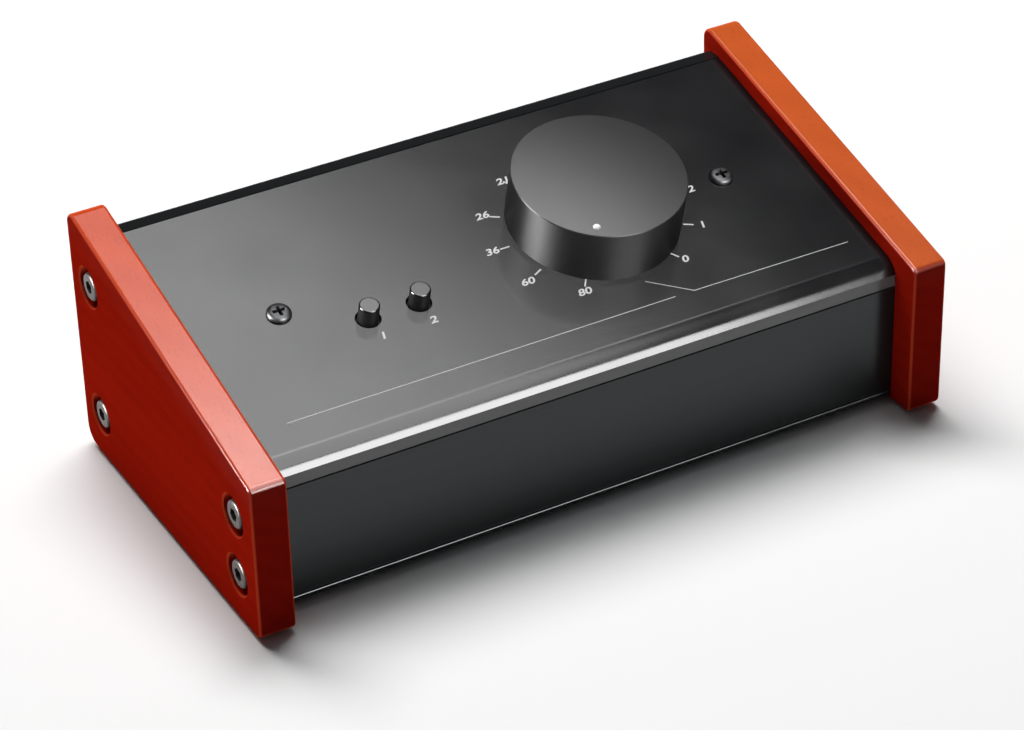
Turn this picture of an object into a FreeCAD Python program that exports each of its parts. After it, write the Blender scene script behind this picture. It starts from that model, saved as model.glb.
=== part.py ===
"""Desktop studio monitor controller: a sloped aluminium case between two wooden cheeks.

Frame: millimetres, X to the right, Y to the rear, Z up. The origin lies on the desk,
under the middle of the cheeks. Controls stand on the sloped panel, whose own frame has
x along the width, s up the slope and n out of the panel.
"""
import FreeCAD, Part
import math
import os
import re
import Sketcher

Vector = FreeCAD.Vector

# Driving sizes, in millimetres, and degrees where the name ends in _turn.
SIZES = {
    # whole object and the two cheeks
    "width_all": 200,
    "cheek_depth": 103,
    "cheek_front_high": 44,
    "cheek_rear_high": 70,
    "cheek_thick": 10,
    "desk_gap": 1.2,
    "top_front_round": 2,
    "bottom_front_round": 2,
    "top_rear_round": 3,
    "bottom_rear_round": 5,
    "cheek_edge_round": 0.9,
    # screws through the cheeks
    "counterbore_gap": 1.7,
    "counterbore_deep": 4.2,
    "counterbore_bevel": 0.4,
    "cheek_hole_gap": 0.5,
    "cheek_head_dia": 7.6,
    "cheek_head_high": 2.2,
    "cheek_head_flat_dia": 3.8,
    "cheek_socket_flats": 2.5,
    "cheek_socket_deep": 1.3,
    "cheek_core_dia": 3.4,
    "cheek_screw_reach": 9,
    # extruded lower case and rear panel, with the screw ports that run along them
    "front_recess": 8.3,
    "rear_recess": 2.6,
    "case_raise": 0.8,
    "case_wall": 1.6,
    "case_corner_round": 1.5,
    "groove_high": 2.3,
    "groove_wide": 0.7,
    "groove_deep": 0.6,
    "tongue_thick": 1.2,
    "tongue_high": 3.5,
    "tongue_gap": 0.15,
    "port_gap": 0.05,
    "port_wall": 0.95,
    "port_front_skin": 0.1,
    "port_rear_inset": 8,
    "port_low_rise": 10.6,
    "port_front_drop": 4.25,
    "port_rear_drop": 11.6,
    "rear_strip": 5.7,
    "rear_bend": 2,
    "shelf_wide": 4,
    "lip_long": 4,
    "lip_thick": 1.6,
    "joint_gap": 0.1,
    # sheet cover
    "panel_drop": 4.4,
    "cover_wall": 1.5,
    "cover_bend": 2,
    "cover_inner_bend": 0.5,
    "skirt_drop": 6.1,
    "seam_gap": 0.5,
    "rear_gap": 0.3,
    "side_gap": 0.2,
    # cover screws and the brackets that take them
    "panel_screw_inset": 25,
    "panel_screw_s": 55.6,
    "panel_head_dia": 6.6,
    "panel_head_high": 2,
    "panel_core_dia": 2.9,
    "panel_hole_gap": 0.2,
    "panel_screw_long": 8,
    "cross_long": 3.8,
    "cross_wide": 0.95,
    "cross_deep": 1.2,
    "bracket_wall": 1.5,
    "bracket_wide": 14,
    "bracket_long": 16,
    "rivet_nut_wall": 1.25,
    "rivet_nut_long": 5,
    # screws through the case floor and the sockets' flanges
    "screw_core_dia": 2.9,
    "screw_fit_gap": 0.05,
    "screw_pass_gap": 0.15,
    "floor_sink_margin": 0.3,
    "flange_sink_margin": 0.5,
    "sunk_head_gap": 0.1,
    "sunk_head_sink": 0.05,
    "small_cross_long": 3,
    "small_cross_wide": 0.75,
    "small_cross_deep": 1,
    "floor_screw_long": 8,
    "bracket_screw_pitch": 9,
    # attenuation knob, its shaft and pointer dot
    "knob_from_right": 65.3,
    "knob_s": 54.2,
    "knob_dia": 46,
    "knob_high": 15.9,
    "knob_gap": 0.8,
    "knob_bevel": 0.35,
    "knob_crown": 2.2,
    "knob_recess_dia": 20,
    "bushing_clear": 1.4,
    "shaft_dia": 6,
    "shaft_gap": 0.04,
    "shaft_end_gap": 0.3,
    "shaft_flat_deep": 1.5,
    "shaft_flat_long": 9,
    "dot_dia": 2.2,
    "dot_deep": 0.5,
    "dot_inset": 3.2,
    "dot_turn": -124,
    "set_screw_dia": 3,
    "set_screw_long": 8,
    "set_screw_gap": 0.05,
    "set_socket_flats": 1.5,
    "set_socket_deep": 2,
    # attenuator under the knob
    "bushing_dia": 9,
    "bushing_high": 5,
    "bushing_bevel": 0.35,
    "bushing_hole_gap": 0.2,
    "gang_wide": 25,
    "gang_round": 3,
    "gang_count": 4,
    "gang_pitch": 6.5,
    "gang_gap": 1,
    "core_inset": 1.5,
    "front_plate_thick": 2,
    "end_plate_thick": 1.5,
    "pin_wide": 1.2,
    "pin_thick": 0.6,
    "pin_long": 4,
    "pin_pitch": 5,
    "washer_dia": 14,
    "washer_thick": 0.8,
    "nut_flats": 12,
    "nut_thick": 2.5,
    "nut_bore_gap": 0.05,
    # push buttons and their switches
    "mono_from_left": 44.8,
    "button_pitch": 14.4,
    "button_s": 45.4,
    "button_hole_gap": 0.7,
    "cap_dia": 5.4,
    "cap_high": 5,
    "cap_round": 0.6,
    "cap_flange_lip": 0.8,
    "cap_flange_thick": 0.7,
    "cap_flange_gap": 0.2,
    "cap_socket_deep": 5,
    "plunger_wide": 3.1,
    "plunger_gap": 0.1,
    "button_travel": 2.5,
    "switch_wide": 8.2,
    "switch_high": 7.3,
    "switch_gap": 1.1,
    "switch_floor": 0.5,
    # switch board under the panel
    "switch_board_long": 17,
    "switch_board_edge": 3,
    "switch_spacer_gap": 2.2,
    "spacer_dia": 5,
    "board_thick": 1.6,
    "small_core_dia": 2.4,
    "small_head_dia": 4.6,
    "small_head_high": 1.6,
    "small_screw_long": 6,
    # main board on the case floor
    "board_side_gap": 8,
    "main_board_long": 34,
    "main_board_gap": 1.3,
    "main_spacer_inset": 4,
    "mid_spacer_gap": 2.3,
    "main_spacer_flats": 5.5,
    "board_head_dia": 5.4,
    # ribbon cable between the boards
    "ribbon_wide": 12,
    "ribbon_thick": 0.9,
    "ribbon_drop": 3.5,
    "ribbon_gap": 0.3,
    "ribbon_inner_bend": 0.6,
    "connector_wide": 14,
    "connector_deep": 5,
    "connector_high": 4.5,
    "connector_notch": 1,
    # sockets in the rear wall
    "input_left_x": -54,
    "input_pitch": 31,
    "flange_wide": 26,
    "flange_high": 31,
    "flange_thick": 1.8,
    "flange_round": 2.5,
    "flange_screw_inset": 3.5,
    "flange_screw_long": 7,
    "barrel_dia": 23.4,
    "barrel_gap": 0.3,
    "barrel_end": 1.8,
    "mouth_dia": 19.4,
    "mouth_deep": 11.8,
    "insert_dia": 15.6,
    "insert_sink": 1,
    "plug_bore_dia": 6.5,
    "plug_bore_deep": 28,
    "contact_dia": 2.4,
    "contact_reach": 5.4,
    "contact_deep": 10,
    "output_left_x": 46,
    "output_pitch": 21,
    "jack_wide": 16,
    "jack_high": 16,
    "jack_end": 1.1,
    "jack_bushing_dia": 9.5,
    "jack_bushing_high": 2.5,
    "jack_bore_deep": 28.5,
    "jack_nut_flats": 13,
    "jack_nut_thick": 2,
    "mini_in_x": 0,
    "mini_pitch": 17,
    "mini_wide": 12,
    "mini_high": 10,
    "mini_end": 1.8,
    "mini_bushing_dia": 6,
    "mini_bushing_high": 2.2,
    "mini_bore_dia": 3.6,
    "mini_bore_deep": 15,
    "mini_nut_dia": 8.2,
    "mini_nut_thick": 1.6,
    "wall_hole_gap": 0.15,
    # rubber feet
    "foot_dia": 11,
    "foot_side_inset": 14,
    "foot_inset": 13,
    "foot_round": 0.6,
}

# Sizes that follow from the driving ones.
DERIVED = {
    # case and cover
    "slope": "atan((cheek_rear_high - cheek_front_high) / cheek_depth)",
    "front_plane": "-cheek_depth / 2",
    "case_front": "front_plane + front_recess",
    "case_rear": "cheek_depth / 2 - rear_recess",
    "case_bottom": "desk_gap + case_raise",
    "case_floor": "case_bottom + case_wall",
    "case_length": "width_all - 2 * cheek_thick",
    "rear_inner": "case_rear - case_wall",
    "lip_front": "rear_inner - lip_long",
    "joint_low": "case_bottom + case_wall / 2",
    "panel_start": "desk_gap + cheek_front_high - panel_drop / cos(slope)",
    "corner_s": "front_recess / cos(slope)",
    "corner_high": "panel_start + front_recess * tan(slope)",
    "seam_low": "corner_high - skirt_drop - seam_gap",
    "flange_front": "case_rear - rear_strip",
    "flange_top": "panel_start + (flange_front - front_plane) * tan(slope)",
    "cover_length": "(flange_front - rear_gap - front_plane) / cos(slope)",
    "under_drop": "cover_wall / cos(slope)",
    "shelf_front": "flange_front - shelf_wide",
    # screw ports
    "cheek_hole_dia": "cheek_core_dia + 2 * cheek_hole_gap",
    "counterbore_dia": "cheek_head_dia + 2 * counterbore_gap",
    "port_bore_dia": "cheek_core_dia + 2 * port_gap",
    "port_dia": "port_bore_dia + 2 * port_wall",
    "port_front_y": "case_front + port_dia / 2 + port_front_skin",
    "port_rear_y": "case_rear - port_rear_inset",
    "port_low_z": "case_floor + port_low_rise",
    "port_front_z": "seam_low - port_front_drop",
    "port_rear_z": "flange_top - port_rear_drop",
    # brackets and plain screws
    "panel_screw_x": "case_length / 2 - panel_screw_inset",
    "bracket_y": "front_plane + panel_screw_s * cos(slope)",
    "bracket_out": "panel_screw_x + bracket_wide / 2",
    "rivet_nut_dia": "panel_core_dia + 2 * rivet_nut_wall",
    "rivet_nut_foot": "-cover_wall - bracket_wall - rivet_nut_long",
    "fit_hole_dia": "screw_core_dia + 2 * screw_fit_gap",
    "pass_hole_dia": "screw_core_dia + 2 * screw_pass_gap",
    "floor_sink_deep": "case_wall - floor_sink_margin",
    "floor_sink_dia": "pass_hole_dia + 2 * floor_sink_deep",
    "flange_sink_deep": "flange_thick - flange_sink_margin",
    "flange_sink_dia": "fit_hole_dia + 2 * flange_sink_deep",
    # knob and attenuator
    "knob_x": "case_length / 2 - knob_from_right",
    "knob_top": "knob_gap + knob_high",
    "knob_ceiling": "bushing_high + bushing_clear",
    "shaft_hole_dia": "shaft_dia + 2 * shaft_gap",
    "shaft_hole_top": "knob_top - knob_crown",
    "shaft_top": "shaft_hole_top - shaft_end_gap",
    "set_screw_n": "(knob_ceiling + shaft_top) / 2",
    "flat_reach": "shaft_dia / 2 - shaft_flat_deep",
    "dot_reach": "knob_dia / 2 - dot_inset",
    "bushing_foot": "-cover_wall - front_plate_thick",
    "gang_thick": "gang_pitch - gang_gap",
    "gang_end": "bushing_foot - gang_count * gang_pitch",
    "core_wide": "gang_wide - 2 * core_inset",
    "attenuator_end": "gang_end - end_plate_thick",
    # buttons and switches
    "mono_x": "mono_from_left - case_length / 2",
    "mute_x": "mono_x + button_pitch",
    "button_hole_dia": "cap_dia + 2 * button_hole_gap",
    "cap_flange_dia": "button_hole_dia + 2 * cap_flange_lip",
    "flange_n": "-cover_wall - cap_flange_gap",
    "cap_foot": "flange_n - cap_flange_thick",
    "switch_top": "cap_foot - button_travel - switch_gap",
    "switch_foot": "switch_top - switch_high",
    "plunger_foot": "switch_foot + switch_floor + button_travel + plunger_gap",
    "plunger_head": "cap_foot + cap_socket_deep - plunger_gap",
    "switch_board_x": "(mono_x + mute_x) / 2",
    "switch_spacer_x": "(button_pitch + switch_wide + spacer_dia) / 2 + switch_spacer_gap",
    "switch_board_wide": "2 * (switch_spacer_x + switch_board_edge)",
    "switch_board_foot": "switch_foot - board_thick",
    # main board, which lies on the rear screw port
    "main_board_wide": "case_length - 2 * board_side_gap",
    "main_board_foot": "port_low_z + port_dia / 2",
    "main_board_top": "main_board_foot + board_thick",
    "main_board_rear": "rear_inner - main_board_gap",
    "main_board_front": "main_board_rear - main_board_long",
    "main_spacer_x": "main_board_wide / 2 - main_spacer_inset",
    "main_spacer_y": "main_board_front + main_spacer_inset",
    "mid_spacer_x": "(connector_wide + board_head_dia) / 2 + mid_spacer_gap - switch_board_x",
    "ribbon_foot": "main_board_top + connector_high",
    "ribbon_head_n": "switch_board_foot - connector_high",
    "ribbon_head_y": "front_plane + button_s * cos(slope) - ribbon_head_n * sin(slope)",
    "ribbon_head": "panel_start + button_s * sin(slope) + ribbon_head_n * cos(slope)",
    # rear sockets and feet
    "input_right_x": "input_left_x + input_pitch",
    "input_high": "(port_low_z + port_rear_z) / 2",
    "flange_screw_x": "flange_wide / 2 - flange_screw_inset",
    "flange_screw_z": "flange_high / 2 - flange_screw_inset",
    "barrel_long": "plug_bore_deep + insert_sink - flange_thick + barrel_end",
    "output_right_x": "output_left_x + output_pitch",
    "jack_long": "jack_bore_deep - jack_bushing_high - case_wall + jack_end",
    "jack_z": "main_board_top + jack_high / 2",
    "mini_out_x": "mini_in_x + mini_pitch",
    "mini_long": "mini_bore_deep - mini_bushing_high - case_wall + mini_end",
    "mini_z": "main_board_top + mini_high / 2",
    "foot_x": "case_length / 2 - foot_side_inset",
    "foot_front_y": "case_front + foot_inset",
    "foot_rear_y": "case_rear - foot_inset",
}

WORD = re.compile(r"[a-z_][a-z0-9_]*")

document = FreeCAD.newDocument("monitor_controller")
sheet = document.addObject("Spreadsheet::Sheet", "dims")
parts = []


# ------------------------------------------------------------------ sheet and expressions

def fill_sheet():
    """Write every driving size into the sheet, with its name as the cell's alias."""
    for row, (name, size) in enumerate(SIZES.items(), start=1):
        sheet.set(f"A{row}", name)
        sheet.set(f"B{row}", str(size))
        sheet.setAlias(f"B{row}", name)
    document.recompute()


def expression(text):
    """Turn plain names into references to the sheet and write derived sizes out in full."""
    def swap(match):
        word = match.group(0)
        if word in DERIVED:
            return f"({expression(DERIVED[word])})"
        return f"dims.{word}" if word in SIZES else word
    return WORD.sub(swap, str(text))


def value(text):
    """The present number behind an expression."""
    result = sheet.evalExpression(expression(text))
    return float(getattr(result, "Value", result))


def bind(thing, prop, text):
    thing.setExpression(prop, expression(text))


# ------------------------------------------------------------------ sketches and features

def new_body(label):
    body = document.addObject("PartDesign::Body", label)
    body.Label = label
    return body


def new_sketch(body, role, lift=None):
    """A sketch on one of the body's own origin planes, moved along its normal by lift."""
    sketch = body.newObject("Sketcher::SketchObject", f"{body.Label}_sketch")
    plane = [f for f in body.Origin.OriginFeatures if f.Role == role][0]
    sketch.AttachmentSupport = [(plane, "")]
    sketch.MapMode = "FlatFace"
    if lift is not None:
        bind(sketch, "AttachmentOffset.Base.z", lift)
    return sketch


def hold_point(sketch, geometry, point, across, up):
    """Fix one point of a sketch by its two distances from the sketch's origin."""
    for kind, text in (("DistanceX", across), ("DistanceY", up)):
        index = sketch.addConstraint(
            Sketcher.Constraint(kind, -1, 1, geometry, point, value(text)))
        bind(sketch, f"Constraints[{index}]", text)


def outline(sketch, corners):
    """A closed outline of straight lines, each corner held by two expressions."""
    spots = [Vector(value(across), value(up), 0) for across, up in corners]
    count = len(corners)
    first = sketch.GeometryCount
    for i in range(count):
        sketch.addGeometry(Part.LineSegment(spots[i], spots[(i + 1) % count]), False)
    for i in range(count):
        after = first + (i + 1) % count
        sketch.addConstraint(Sketcher.Constraint("Coincident", first + i, 2, after, 1))
    for i, (across, up) in enumerate(corners):
        hold_point(sketch, first + i, 1, across, up)


def rectangle(sketch, left, right, low, high):
    outline(sketch, [(left, low), (right, low), (right, high), (left, high)])


def circle(sketch, across, up, diameter):
    centre = Vector(value(across), value(up), 0)
    radius = value(diameter) / 2
    index = sketch.addGeometry(Part.Circle(centre, Vector(0, 0, 1), radius), False)
    size = sketch.addConstraint(Sketcher.Constraint("Diameter", index, 2 * radius))
    bind(sketch, f"Constraints[{size}]", diameter)
    hold_point(sketch, index, 3, across, up)


def hexagon(sketch, flats):
    """A regular hexagon about the sketch's origin, given by its width across flats."""
    reach = f"({flats}) / (2 * cos(30))"
    corners = [(f"{reach} * cos({60 * i})", f"{reach} * sin({60 * i})") for i in range(6)]
    outline(sketch, corners)


def pad(body, sketch, length, both=False, back=False):
    feature = body.newObject("PartDesign::Pad", f"{body.Label}_pad")
    feature.Profile = sketch
    bind(feature, "Length", length)
    feature.SideType = "Symmetric" if both else "One side"
    feature.Reversed = back
    return feature


def pocket(body, sketch, length=None, both=False, back=False):
    """Cut a sketch out: against its normal, or along it with back; all through if no length."""
    feature = body.newObject("PartDesign::Pocket", f"{body.Label}_pocket")
    feature.Profile = sketch
    if length is None:
        feature.Type = "ThroughAll"
    else:
        bind(feature, "Length", length)
    feature.SideType = "Symmetric" if both else "One side"
    feature.Reversed = back
    return feature


def revolve(body, sketch):
    """Turn a half section in the XZ plane about the body's upright axis."""
    feature = body.newObject("PartDesign::Revolution", f"{body.Label}_revolution")
    feature.Profile = sketch
    feature.ReferenceAxis = (sketch, ["V_Axis"])
    feature.Angle = 360
    return feature


def dress(body, kind, prop, size, names):
    """Fillet or chamfer the named edges of the body's last feature."""
    base = body.Tip
    feature = body.newObject(f"PartDesign::{kind}", f"{body.Label}_{kind.lower()}")
    feature.Base = (base, names)
    bind(feature, prop, size)
    document.recompute()
    return feature


def fillet(body, size, names):
    return dress(body, "Fillet", "Radius", size, names)


def chamfer(body, size, names):
    return dress(body, "Chamfer", "Size", size, names)


def edges_at(body, spots):
    """Names of the edges of the last feature that pass through the given points."""
    document.recompute()
    marks = [Part.Vertex(*[value(text) for text in spot]) for spot in spots]
    edges = body.Tip.Shape.Edges
    found = [i for i, edge in enumerate(edges, start=1)
             if any(edge.distToShape(mark)[0] < 1e-4 for mark in marks)]
    return [f"Edge{i}" for i in found]


def edges_level(body, axis, text, round_only=False):
    """Names of the edges that lie in the plane where the given axis has this value."""
    document.recompute()
    level = value(text)
    names = []
    for i, edge in enumerate(body.Tip.Shape.Edges, start=1):
        box = edge.BoundBox
        low, high = getattr(box, axis + "Min"), getattr(box, axis + "Max")
        flat = abs(low - level) < 1e-4 and abs(high - level) < 1e-4
        if flat and (not round_only or isinstance(edge.Curve, Part.Circle)):
            names.append(f"Edge{i}")
    return names


# ------------------------------------------------------------------ places

def place(thing, x="0", y="0", z="0"):
    for axis, text in zip("xyz", (x, y, z)):
        bind(thing, f"Placement.Base.{axis}", text)


def place_on_panel(thing, x="0", s="0", n="0"):
    """Stand a piece on the sloped panel, its own Z along the panel's normal."""
    thing.Placement = FreeCAD.Placement(Vector(), FreeCAD.Rotation(Vector(1, 0, 0), 10))
    bind(thing, "Placement.Rotation.Angle", "slope")
    place(thing, x,
          f"front_plane + ({s}) * cos(slope) - ({n}) * sin(slope)",
          f"panel_start + ({s}) * sin(slope) + ({n}) * cos(slope)")


def place_on_rear(thing, x, z, n="0"):
    """Stand a piece on the rear wall: its X to the left, its Y up, its Z out of the wall."""
    turn = FreeCAD.Rotation(Vector(-1, 0, 0), Vector(0, 0, 1), Vector(0, 1, 0), "ZXY")
    thing.Placement = FreeCAD.Placement(Vector(), turn)
    place(thing, x, f"case_rear + ({n})", z)


def place_sideways(thing, side, x, y, z):
    """Lay a piece along X, its own Z pointing away from the middle on the given side."""
    turn = FreeCAD.Rotation(Vector(0, 1, 0), 90 * side)
    thing.Placement = FreeCAD.Placement(Vector(), turn)
    place(thing, f"{side} * ({x})", y, z)


def place_upside_down(thing, x, y, z):
    thing.Placement = FreeCAD.Placement(Vector(), FreeCAD.Rotation(Vector(1, 0, 0), 180))
    place(thing, x, y, z)


def keep(thing):
    """Put a finished piece on the list of those that are written out."""
    parts.append(thing)
    return thing


def copies(label, source, placings):
    """One node of several equal pieces: a link to the source at each place."""
    links = []
    for set_place in placings:
        link = document.addObject("App::Link", f"{label}_copy")
        link.LinkedObject = source
        link.LinkTransform = False
        set_place(link)
        links.append(link)
    group = document.addObject("Part::Compound", label)
    group.Label = label
    group.Links = links
    return keep(group)


# ------------------------------------------------------------------ wooden cheeks

def cheek_screw_spots():
    return [("port_front_y", "port_low_z"), ("port_front_y", "port_front_z"),
            ("port_rear_y", "port_low_z"), ("port_rear_y", "port_rear_z")]


def cheek(label, side):
    """A board with a sloped top edge, softened all round, with four counterbored holes."""
    body = new_body(label)
    place(body, x=f"{side} * case_length / 2")
    profile = new_sketch(body, "YZ_Plane")
    front, rear, low = "front_plane", "cheek_depth / 2", "desk_gap"
    top_front, top_rear = "desk_gap + cheek_front_high", "desk_gap + cheek_rear_high"
    outline(profile, [(front, low), (rear, low), (rear, top_rear), (front, top_front)])
    pad(body, profile, "cheek_thick", back=side < 0)
    middle = f"{side} * cheek_thick / 2"
    for size, y, z in (("top_front_round", front, top_front),
                       ("bottom_front_round", front, low),
                       ("top_rear_round", rear, top_rear),
                       ("bottom_rear_round", rear, low)):
        fillet(body, size, edges_at(body, [(middle, y, z)]))
    outer = f"{side} * cheek_thick"
    fillet(body, "cheek_edge_round", edges_level(body, "X", outer) + edges_level(body, "X", "0"))
    for diameter, depth in (("cheek_hole_dia", None), ("counterbore_dia", "counterbore_deep")):
        holes = new_sketch(body, "YZ_Plane", lift=outer)
        for y, z in cheek_screw_spots():
            circle(holes, y, z, diameter)
        pocket(body, holes, depth, back=side < 0)
    chamfer(body, "counterbore_bevel", edges_level(body, "X", outer, round_only=True))
    return keep(body)


def button_head_screw():
    """Source of the cheek screws: a low domed head with a hexagon socket, seat at z = 0."""
    body = new_body("button_head_screw")
    section = new_sketch(body, "XZ_Plane")
    flat = "cheek_head_flat_dia / 2"
    shank = "cheek_core_dia / 2"
    tip = "-(cheek_thick - counterbore_deep + cheek_screw_reach)"
    outline(section, [
        ("0", tip), (f"{shank} - 0.5", tip), (shank, f"{tip} + 1"), (shank, "0"),
        ("cheek_head_dia / 2", "0"), ("cheek_head_dia / 2", "cheek_head_high * 0.3"),
        ("cheek_head_dia * 0.4", "cheek_head_high * 0.75"), (flat, "cheek_head_high"),
        ("0", "cheek_head_high")])
    revolve(body, section)
    socket = new_sketch(body, "XY_Plane", lift="cheek_head_high")
    hexagon(socket, "cheek_socket_flats")
    pocket(body, socket, "cheek_socket_deep")
    return body


def cheek_screws():
    source = button_head_screw()
    seat = "width_all / 2 - counterbore_deep"
    for label, side in (("left_cheek_screws", -1), ("right_cheek_screws", 1)):
        copies(label, source,
               [lambda link, y=y, z=z: place_sideways(link, side, seat, y, z)
                for y, z in cheek_screw_spots()])


# ------------------------------------------------------------------ lower case and rear panel

def floor_screw_spots():
    """Places of the countersunk screws through the floor: brackets, then board spacers."""
    spots = []
    for side in (-1, 1):
        for step in (-1, 1):
            spots.append((f"{side} * panel_screw_x", f"bracket_y + {step} * bracket_screw_pitch / 2"))
    return spots + main_spacer_spots()


def main_spacer_spots():
    return [(f"{side} * {x}", "main_spacer_y")
            for side in (-1, 1) for x in ("mid_spacer_x", "main_spacer_x")]


def lower_case():
    """Extruded tray: front wall with a tongue for the cover, grooved foot, floor, front ports."""
    body = new_body("lower_case")
    profile = new_sketch(body, "YZ_Plane")
    groove = "case_bottom + groove_high"
    tongue = "case_front + cover_wall + tongue_gap"
    outline(profile, [
        ("case_front", "case_bottom"), ("lip_front - joint_gap", "case_bottom"),
        ("lip_front - joint_gap", "joint_low"), ("rear_inner - joint_gap", "joint_low"),
        ("rear_inner - joint_gap", "case_floor"), ("case_front + case_wall", "case_floor"),
        ("case_front + case_wall", "seam_low - tongue_high"),
        (f"{tongue} + tongue_thick", "seam_low - tongue_thick"),
        (f"{tongue} + tongue_thick", "seam_low + tongue_high"),
        (tongue, "seam_low + tongue_high"), (tongue, "seam_low"), ("case_front", "seam_low"),
        ("case_front", f"{groove} + groove_wide / 2"),
        ("case_front + groove_deep", f"{groove} + groove_wide / 4"),
        ("case_front + groove_deep", f"{groove} - groove_wide / 4"),
        ("case_front", f"{groove} - groove_wide / 2")])
    pad(body, profile, "case_length", both=True)
    fillet(body, "case_corner_round", edges_at(body, [("0", "case_front", "case_bottom")]))
    add_ports(body, cheek_screw_spots()[:2])
    cut_floor(body)
    return keep(body)


def add_ports(body, spots):
    """Round screw ports along the whole extrusion, bored for the cheek screws."""
    ports = new_sketch(body, "YZ_Plane")
    for y, z in spots:
        circle(ports, y, z, "port_dia")
    pad(body, ports, "case_length", both=True)
    bores = new_sketch(body, "YZ_Plane")
    for y, z in spots:
        circle(bores, y, z, "port_bore_dia")
    pocket(body, bores, both=True)


def rear_panel():
    """Second extrusion: wall with the sockets, flange on top, shelf, grooved lip for the floor."""
    body = new_body("rear_panel")
    profile = new_sketch(body, "YZ_Plane")
    shelf_top = "flange_top - under_drop"
    shelf_low = f"{shelf_top} - (flange_front - shelf_front) * tan(slope)"
    outline(profile, [
        ("case_rear", "case_bottom"), ("case_rear", "flange_top"), ("flange_front", "flange_top"),
        ("flange_front", shelf_top), ("shelf_front", shelf_low),
        ("shelf_front", f"{shelf_low} - case_wall"), ("flange_front", f"{shelf_top} - case_wall"),
        ("rear_inner", f"{shelf_top} - case_wall"), ("rear_inner", "case_floor + lip_thick"),
        ("lip_front", "case_floor + lip_thick"), ("lip_front", "case_floor + joint_gap"),
        ("rear_inner", "case_floor + joint_gap"), ("rear_inner", "joint_low - joint_gap"),
        ("lip_front", "joint_low - joint_gap"), ("lip_front", "case_bottom")])
    pad(body, profile, "case_length", both=True)
    fillet(body, "case_corner_round", edges_at(body, [("0", "case_rear", "case_bottom")]))
    fillet(body, "rear_bend", edges_at(body, [("0", "case_rear", "flange_top")]))
    ribs = new_sketch(body, "YZ_Plane")
    for z in ("port_low_z", "port_rear_z"):
        rectangle(ribs, "port_rear_y", "rear_inner", f"{z} - case_wall / 2", f"{z} + case_wall / 2")
    pad(body, ribs, "case_length", both=True)
    add_ports(body, cheek_screw_spots()[2:])
    cut_rear_wall(body)
    return keep(body)


def cut_rear_wall(body):
    """Round holes for the sockets and tapped holes for the flange screws."""
    holes = new_sketch(body, "XZ_Plane", lift="-rear_inner")
    for x in ("input_left_x", "input_right_x"):
        circle(holes, x, "input_high", "barrel_dia + 2 * barrel_gap")
        for side in (-1, 1):
            circle(holes, f"{x} + {side} * flange_screw_x",
                   f"input_high + {side} * flange_screw_z", "fit_hole_dia")
    for x in ("output_left_x", "output_right_x"):
        circle(holes, x, "jack_z", "jack_bushing_dia + 2 * wall_hole_gap")
    for x in ("mini_in_x", "mini_out_x"):
        circle(holes, x, "mini_z", "mini_bushing_dia + 2 * wall_hole_gap")
    pocket(body, holes, "case_wall")


def cut_floor(body):
    """Countersunk holes through the floor."""
    holes = new_sketch(body, "XY_Plane", lift="case_bottom")
    for x, y in floor_screw_spots():
        circle(holes, x, y, "pass_hole_dia")
    pocket(body, holes, "case_wall", back=True)
    sinks = new_sketch(body, "XY_Plane", lift="case_bottom")
    for x, y in floor_screw_spots():
        circle(sinks, x, y, "floor_sink_dia")
    cut = pocket(body, sinks, "floor_sink_deep", back=True)
    cut.TaperAngle = -45


def countersunk_screw(label, sink, length):
    """A countersunk screw for a sink of this diameter: flat top at z = 0, with a cross in it."""
    body = new_body(label)
    section = new_sketch(body, "XZ_Plane")
    head, core = f"({sink} / 2 - sunk_head_gap)", "screw_core_dia / 2"
    outline(section, [
        ("0", f"-{length}"), (core, f"-{length}"), (core, f"{core} - {head}"), (head, "0"), ("0", "0")])
    revolve(body, section)
    cut_cross(body, "0", "small_cross_long", "small_cross_wide", "small_cross_deep")
    return body


def cut_cross(body, level, long, wide, deep):
    """Cut a cross-shaped driver recess into a screw head whose top is at the given level."""
    for turned in (False, True):
        slot = new_sketch(body, "XY_Plane", lift=level)
        across, along = (long, wide) if turned else (wide, long)
        rectangle(slot, f"-({across}) / 2", f"({across}) / 2", f"-({along}) / 2", f"({along}) / 2")
        pocket(body, slot, deep)


def floor_screws():
    source = countersunk_screw("countersunk_screw", "floor_sink_dia", "floor_screw_long")
    copies("floor_screws", source,
           [lambda link, x=x, y=y: place_upside_down(link, x, y, "case_bottom + sunk_head_sink")
            for x, y in floor_screw_spots()])


# ------------------------------------------------------------------ sheet cover

def top_cover():
    """Folded sheet: the sloped panel, a rolled front bend and a short front skirt."""
    body = new_body("top_cover")
    place_on_panel(body)
    profile = new_sketch(body, "YZ_Plane")
    low_s, low_n = "corner_s - skirt_drop * sin(slope)", "-skirt_drop * cos(slope)"
    inner_s = "corner_s + cover_wall * (1 - sin(slope)) / cos(slope)"
    outline(profile, [
        ("cover_length", "0"), ("corner_s", "0"), (low_s, low_n),
        (f"{low_s} + cover_wall * cos(slope)", f"{low_n} - cover_wall * sin(slope)"),
        (inner_s, "-cover_wall"), ("cover_length", "-cover_wall")])
    pad(body, profile, "case_length - 2 * side_gap", both=True)
    fillet(body, "cover_bend", edges_at(body, [("0", "corner_s", "0")]))
    fillet(body, "cover_inner_bend", edges_at(body, [("0", inner_s, "-cover_wall")]))
    holes = new_sketch(body, "XY_Plane")
    circle(holes, "knob_x", "knob_s", "bushing_dia + 2 * bushing_hole_gap")
    for x in ("mono_x", "mute_x"):
        circle(holes, x, "button_s", "button_hole_dia")
    for side in (-1, 1):
        circle(holes, f"{side} * panel_screw_x", "panel_screw_s", "panel_core_dia + 2 * panel_hole_gap")
    pocket(body, holes, "cover_wall")
    return keep(body)


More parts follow.
